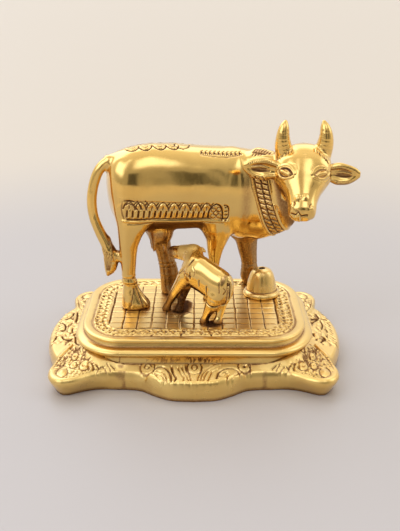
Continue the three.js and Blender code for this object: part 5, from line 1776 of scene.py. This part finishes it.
def brass(name, colour, roughness, grain, stretch):
    """Brass with a brushed grain and warm spots.

    A point's patina and painted shade darken it. Below 0 it is as rough as it was cast."""
    material = bpy.data.materials.new(name)
    nodes = Nodes(material)
    shader = nodes.named["Principled BSDF"].inputs
    place = nodes.new("TexCoord").outputs["Object"]
    attribute = nodes.new("Attribute")
    attribute.attribute_name = "patina_and_shade"
    patina_and_shade = attribute.outputs["Fac"]
    broken = nodes.math("MULTIPLY_ADD", nodes.noise(place, 1500, 4), 0.44, -0.22)
    aged_and_shaded = nodes.add(patina_and_shade, nodes.times(broken, nodes.ramp(patina_and_shade, 0.05, 0.4)), clamp=True)

    red, green, blue = colour
    spots = nodes.ramp(nodes.noise(place, 75, 4), 0.4, 0.75)
    cloud = nodes.ramp(nodes.noise(place, 28, 2), 0.35, 0.68)
    tone = nodes.colour(spots, colour, (red * 0.96, green * 0.92, blue * 0.84))
    tone = nodes.colour(nodes.times(cloud, 0.6), tone, (red, green * 0.94, blue * 0.82))
    for start, end, darker in PATINA_AND_SHADE_STEPS:
        tone = nodes.colour(nodes.ramp(aged_and_shaded, start, end), tone, darker)
    nodes.join(tone, shader["Base Color"])
    nodes.join(nodes.colour(nodes.ramp(aged_and_shaded, 0.3, 0.85), WHITE, DULL_EDGE), shader["Specular Tint"])

    brushed = nodes.noise(place, 900, 2, stretch)
    rough = nodes.ramp(brushed, 0.3, 0.7, roughness - 0.02, roughness + 0.03)
    rough = nodes.add(rough, nodes.times(nodes.ramp(nodes.noise(place, 160, 4), 0.4, 0.7), 0.05))
    rough = nodes.add(rough, nodes.ramp(aged_and_shaded, 0.1, 0.9, 0.0, 0.3), clamp=True)
    rough = nodes.add(rough, nodes.ramp(patina_and_shade, 0.0, -1.0, 0.0, CAST_ROUGHNESS), clamp=True)
    nodes.join(rough, shader["Roughness"])
    nodes.join(nodes.ramp(patina_and_shade, 0.0, -1.0, 1.0, CAST_METALLIC), shader["Metallic"])
    nodes.join(nodes.ramp(aged_and_shaded, 0.1, 0.6, 0.6, 0.05), shader["Coat Weight"])
    nodes.join(roughness, shader["Coat Roughness"])

    bump = nodes.new("Bump")
    nodes.join(grain, bump.inputs["Strength"])
    nodes.join(GRAIN_HEIGHT, bump.inputs["Distance"])
    nodes.join(nodes.add(nodes.times(brushed, 0.5), nodes.noise(place, 2200, 2)), bump.inputs["Height"])
    nodes.join(bump.outputs[0], shader["Normal"])
    return material


# The pieces.
COW_CELL = 0.95
CALF_CELL = 0.45

polished = brass("polished_brass", (0.87, 0.575, 0.17), 0.13, 0.35, (1, 1, 0.08))
satin = brass("satin_brass", (0.9, 0.625, 0.2), 0.29, 0.6, (0.2, 1, 1))

cow = cow_casting()
cow_mesh = cast_mesh("cow_dressed", cow, COW_CELL, COW_FINER)
add_piece("cow_casting", *chase_cow(cow, cow_mesh), "cow", "polished_brass", polished)
calf = calf_casting()
calf_mesh = cast_mesh("calf_dressed", calf, CALF_CELL, CALF_FINER)
add_piece("calf_casting", *chase_calf(calf, calf_mesh), "calf", "polished_brass", polished)
add_piece("plinth", *plinth_mesh(), "base", "satin_brass", satin)
add_piece("incense_dome", *holder_mesh(), "incense_holder", "polished_brass", polished)


# The floor, the light and the camera. The floor's lengths are in metres.
FLOOR_REACH = 12.0
FLOOR_NEAR = (0.505, 0.455, 0.41)
FLOOR_FAR = (0.64, 0.55, 0.43)
FLOOR_ROUGHNESS = 0.45


def floor():
    """A pale floor, a little warmer further off."""
    mesh = bpy.data.meshes.new("floor")
    corners = [(sx * FLOOR_REACH, sy * FLOOR_REACH, 0) for sx, sy in ((-1, -1), (1, -1), (1, 1), (-1, 1))]
    mesh.from_pydata(corners, [], [(0, 1, 2, 3)])
    stage = bpy.data.objects.new("floor", mesh)
    bpy.context.scene.collection.objects.link(stage)
    material = bpy.data.materials.new("floor")
    nodes = Nodes(material)
    length = nodes.new("VectorMath")
    length.operation = "LENGTH"
    nodes.join(nodes.new("TexCoord").outputs["Object"], length.inputs[0])
    far = nodes.ramp(length.outputs["Value"], 0.15, 0.4)
    shader = nodes.named["Principled BSDF"].inputs
    nodes.join(nodes.colour(far, FLOOR_NEAR, FLOOR_FAR), shader["Base Color"])
    nodes.join(FLOOR_ROUGHNESS, shader["Roughness"])
    mesh.materials.append(material)


# Soft windows and dark flags round the object: left, right, low and high edges in degrees from the front,
# and how bright or how dark each is. Their edges fade over so many degrees each way.
WINDOWS = [
    (-75, -28, 20, 57, 1.5), (-2, 38, 42, 73, 1.25), (-39, -27, 62, 72, 1.3), (140, 200, 35, 65, 0.85),
    (-165, -105, 25, 66, 1.4), (75, 110, 15, 50, 0.9),
]
WINDOW_SOFTNESS = 8
FLAGS = [(-11, 8, -14, 28, 0.78), (25, 37.5, -13, 28, 0.75), (43.5, 47, -16, 36, 0.7), (18, 20, -5, 14, 0.5)]
FLAG_SOFTNESS = 1.5
ROOM_TINT = (1, 0.955, 0.87)
DAYLIGHT_TINT = (0.97, 1.03, 1.2)
BACKDROP = (1, 0.88, 0.73)
BACKDROP_STRENGTH = 0.8


def studio():
    """A soft studio light made by the world alone. The camera itself sees a plain backdrop."""
    world = bpy.data.worlds.new("studio")
    nodes = Nodes(world)
    split = nodes.new("SeparateXYZ")
    nodes.join(nodes.new("TexCoord").outputs["Generated"], split.inputs[0])
    x, y, z = split.outputs
    turn = nodes.math("ARCTAN2", x, nodes.times(y, -1.0))
    behind = nodes.add(turn, nodes.times(nodes.math("LESS_THAN", turn, -2.8), 2 * math.pi))
    climb = nodes.math("ARCSINE", z)

    def patch(left, right, low, high, soft):
        around = behind if right > 180 else turn

        def within(value, start, end):
            rise, fall = [
                nodes.ramp(value, math.radians(edge - soft * way), math.radians(edge + soft * way))
                for edge, way in ((start, 1), (end, -1))
            ]
            return nodes.times(rise, fall)

        return nodes.times(within(around, left, right), within(climb, low, high))

    daylight = 0.0
    for *edges, bright in WINDOWS:
        daylight = nodes.add(daylight, nodes.times(patch(*edges, WINDOW_SOFTNESS), bright))
    front = nodes.times(nodes.ramp(y, -0.75, 0.3), 0.45)
    light = nodes.add(nodes.add(front, nodes.ramp(climb, 0.2, 1.2, 0.45, 0.6)), daylight)
    for *edges, dark in FLAGS:
        light = nodes.times(light, nodes.math("MULTIPLY_ADD", patch(*edges, FLAG_SOFTNESS), -dark, 1.0))
    background = nodes.named["Background"].inputs
    tint = nodes.colour(nodes.ramp(daylight, 0.1, 0.9), ROOM_TINT, DAYLIGHT_TINT)
    seen = nodes.new("LightPath").outputs["Is Camera Ray"]
    unseen = nodes.times(light, nodes.math("SUBTRACT", 1.0, seen))
    nodes.join(nodes.colour(seen, tint, BACKDROP), background["Color"])
    nodes.join(nodes.add(nodes.times(seen, BACKDROP_STRENGTH), unseen), background["Strength"])
    bpy.context.scene.world = world
    bpy.context.scene.view_settings.view_transform = "Standard"


# The camera's place in millimetres, its tilt and turn in degrees, its focal length and the picture's height
# in pixels, and the width of its sensor in millimetres.
CAMERA_PLACE = (3.1, -323.2, 154.5)
CAMERA_TILT = 70
CAMERA_TURN = 0.13
FOCAL_PIXELS = 850
PICTURE_PIXELS = 531
SENSOR = 36


def camera():
    lens = bpy.data.cameras.new("camera")
    lens.sensor_width = SENSOR
    lens.sensor_fit = "AUTO"
    lens.lens = FOCAL_PIXELS / PICTURE_PIXELS * SENSOR
    eye = bpy.data.objects.new("camera", lens)
    eye.location = to_row(CAMERA_PLACE)
    eye.rotation_euler = (math.radians(CAMERA_TILT), 0, math.radians(CAMERA_TURN))
    bpy.context.scene.collection.objects.link(eye)
    bpy.context.scene.camera = eye


floor()
studio()
camera()
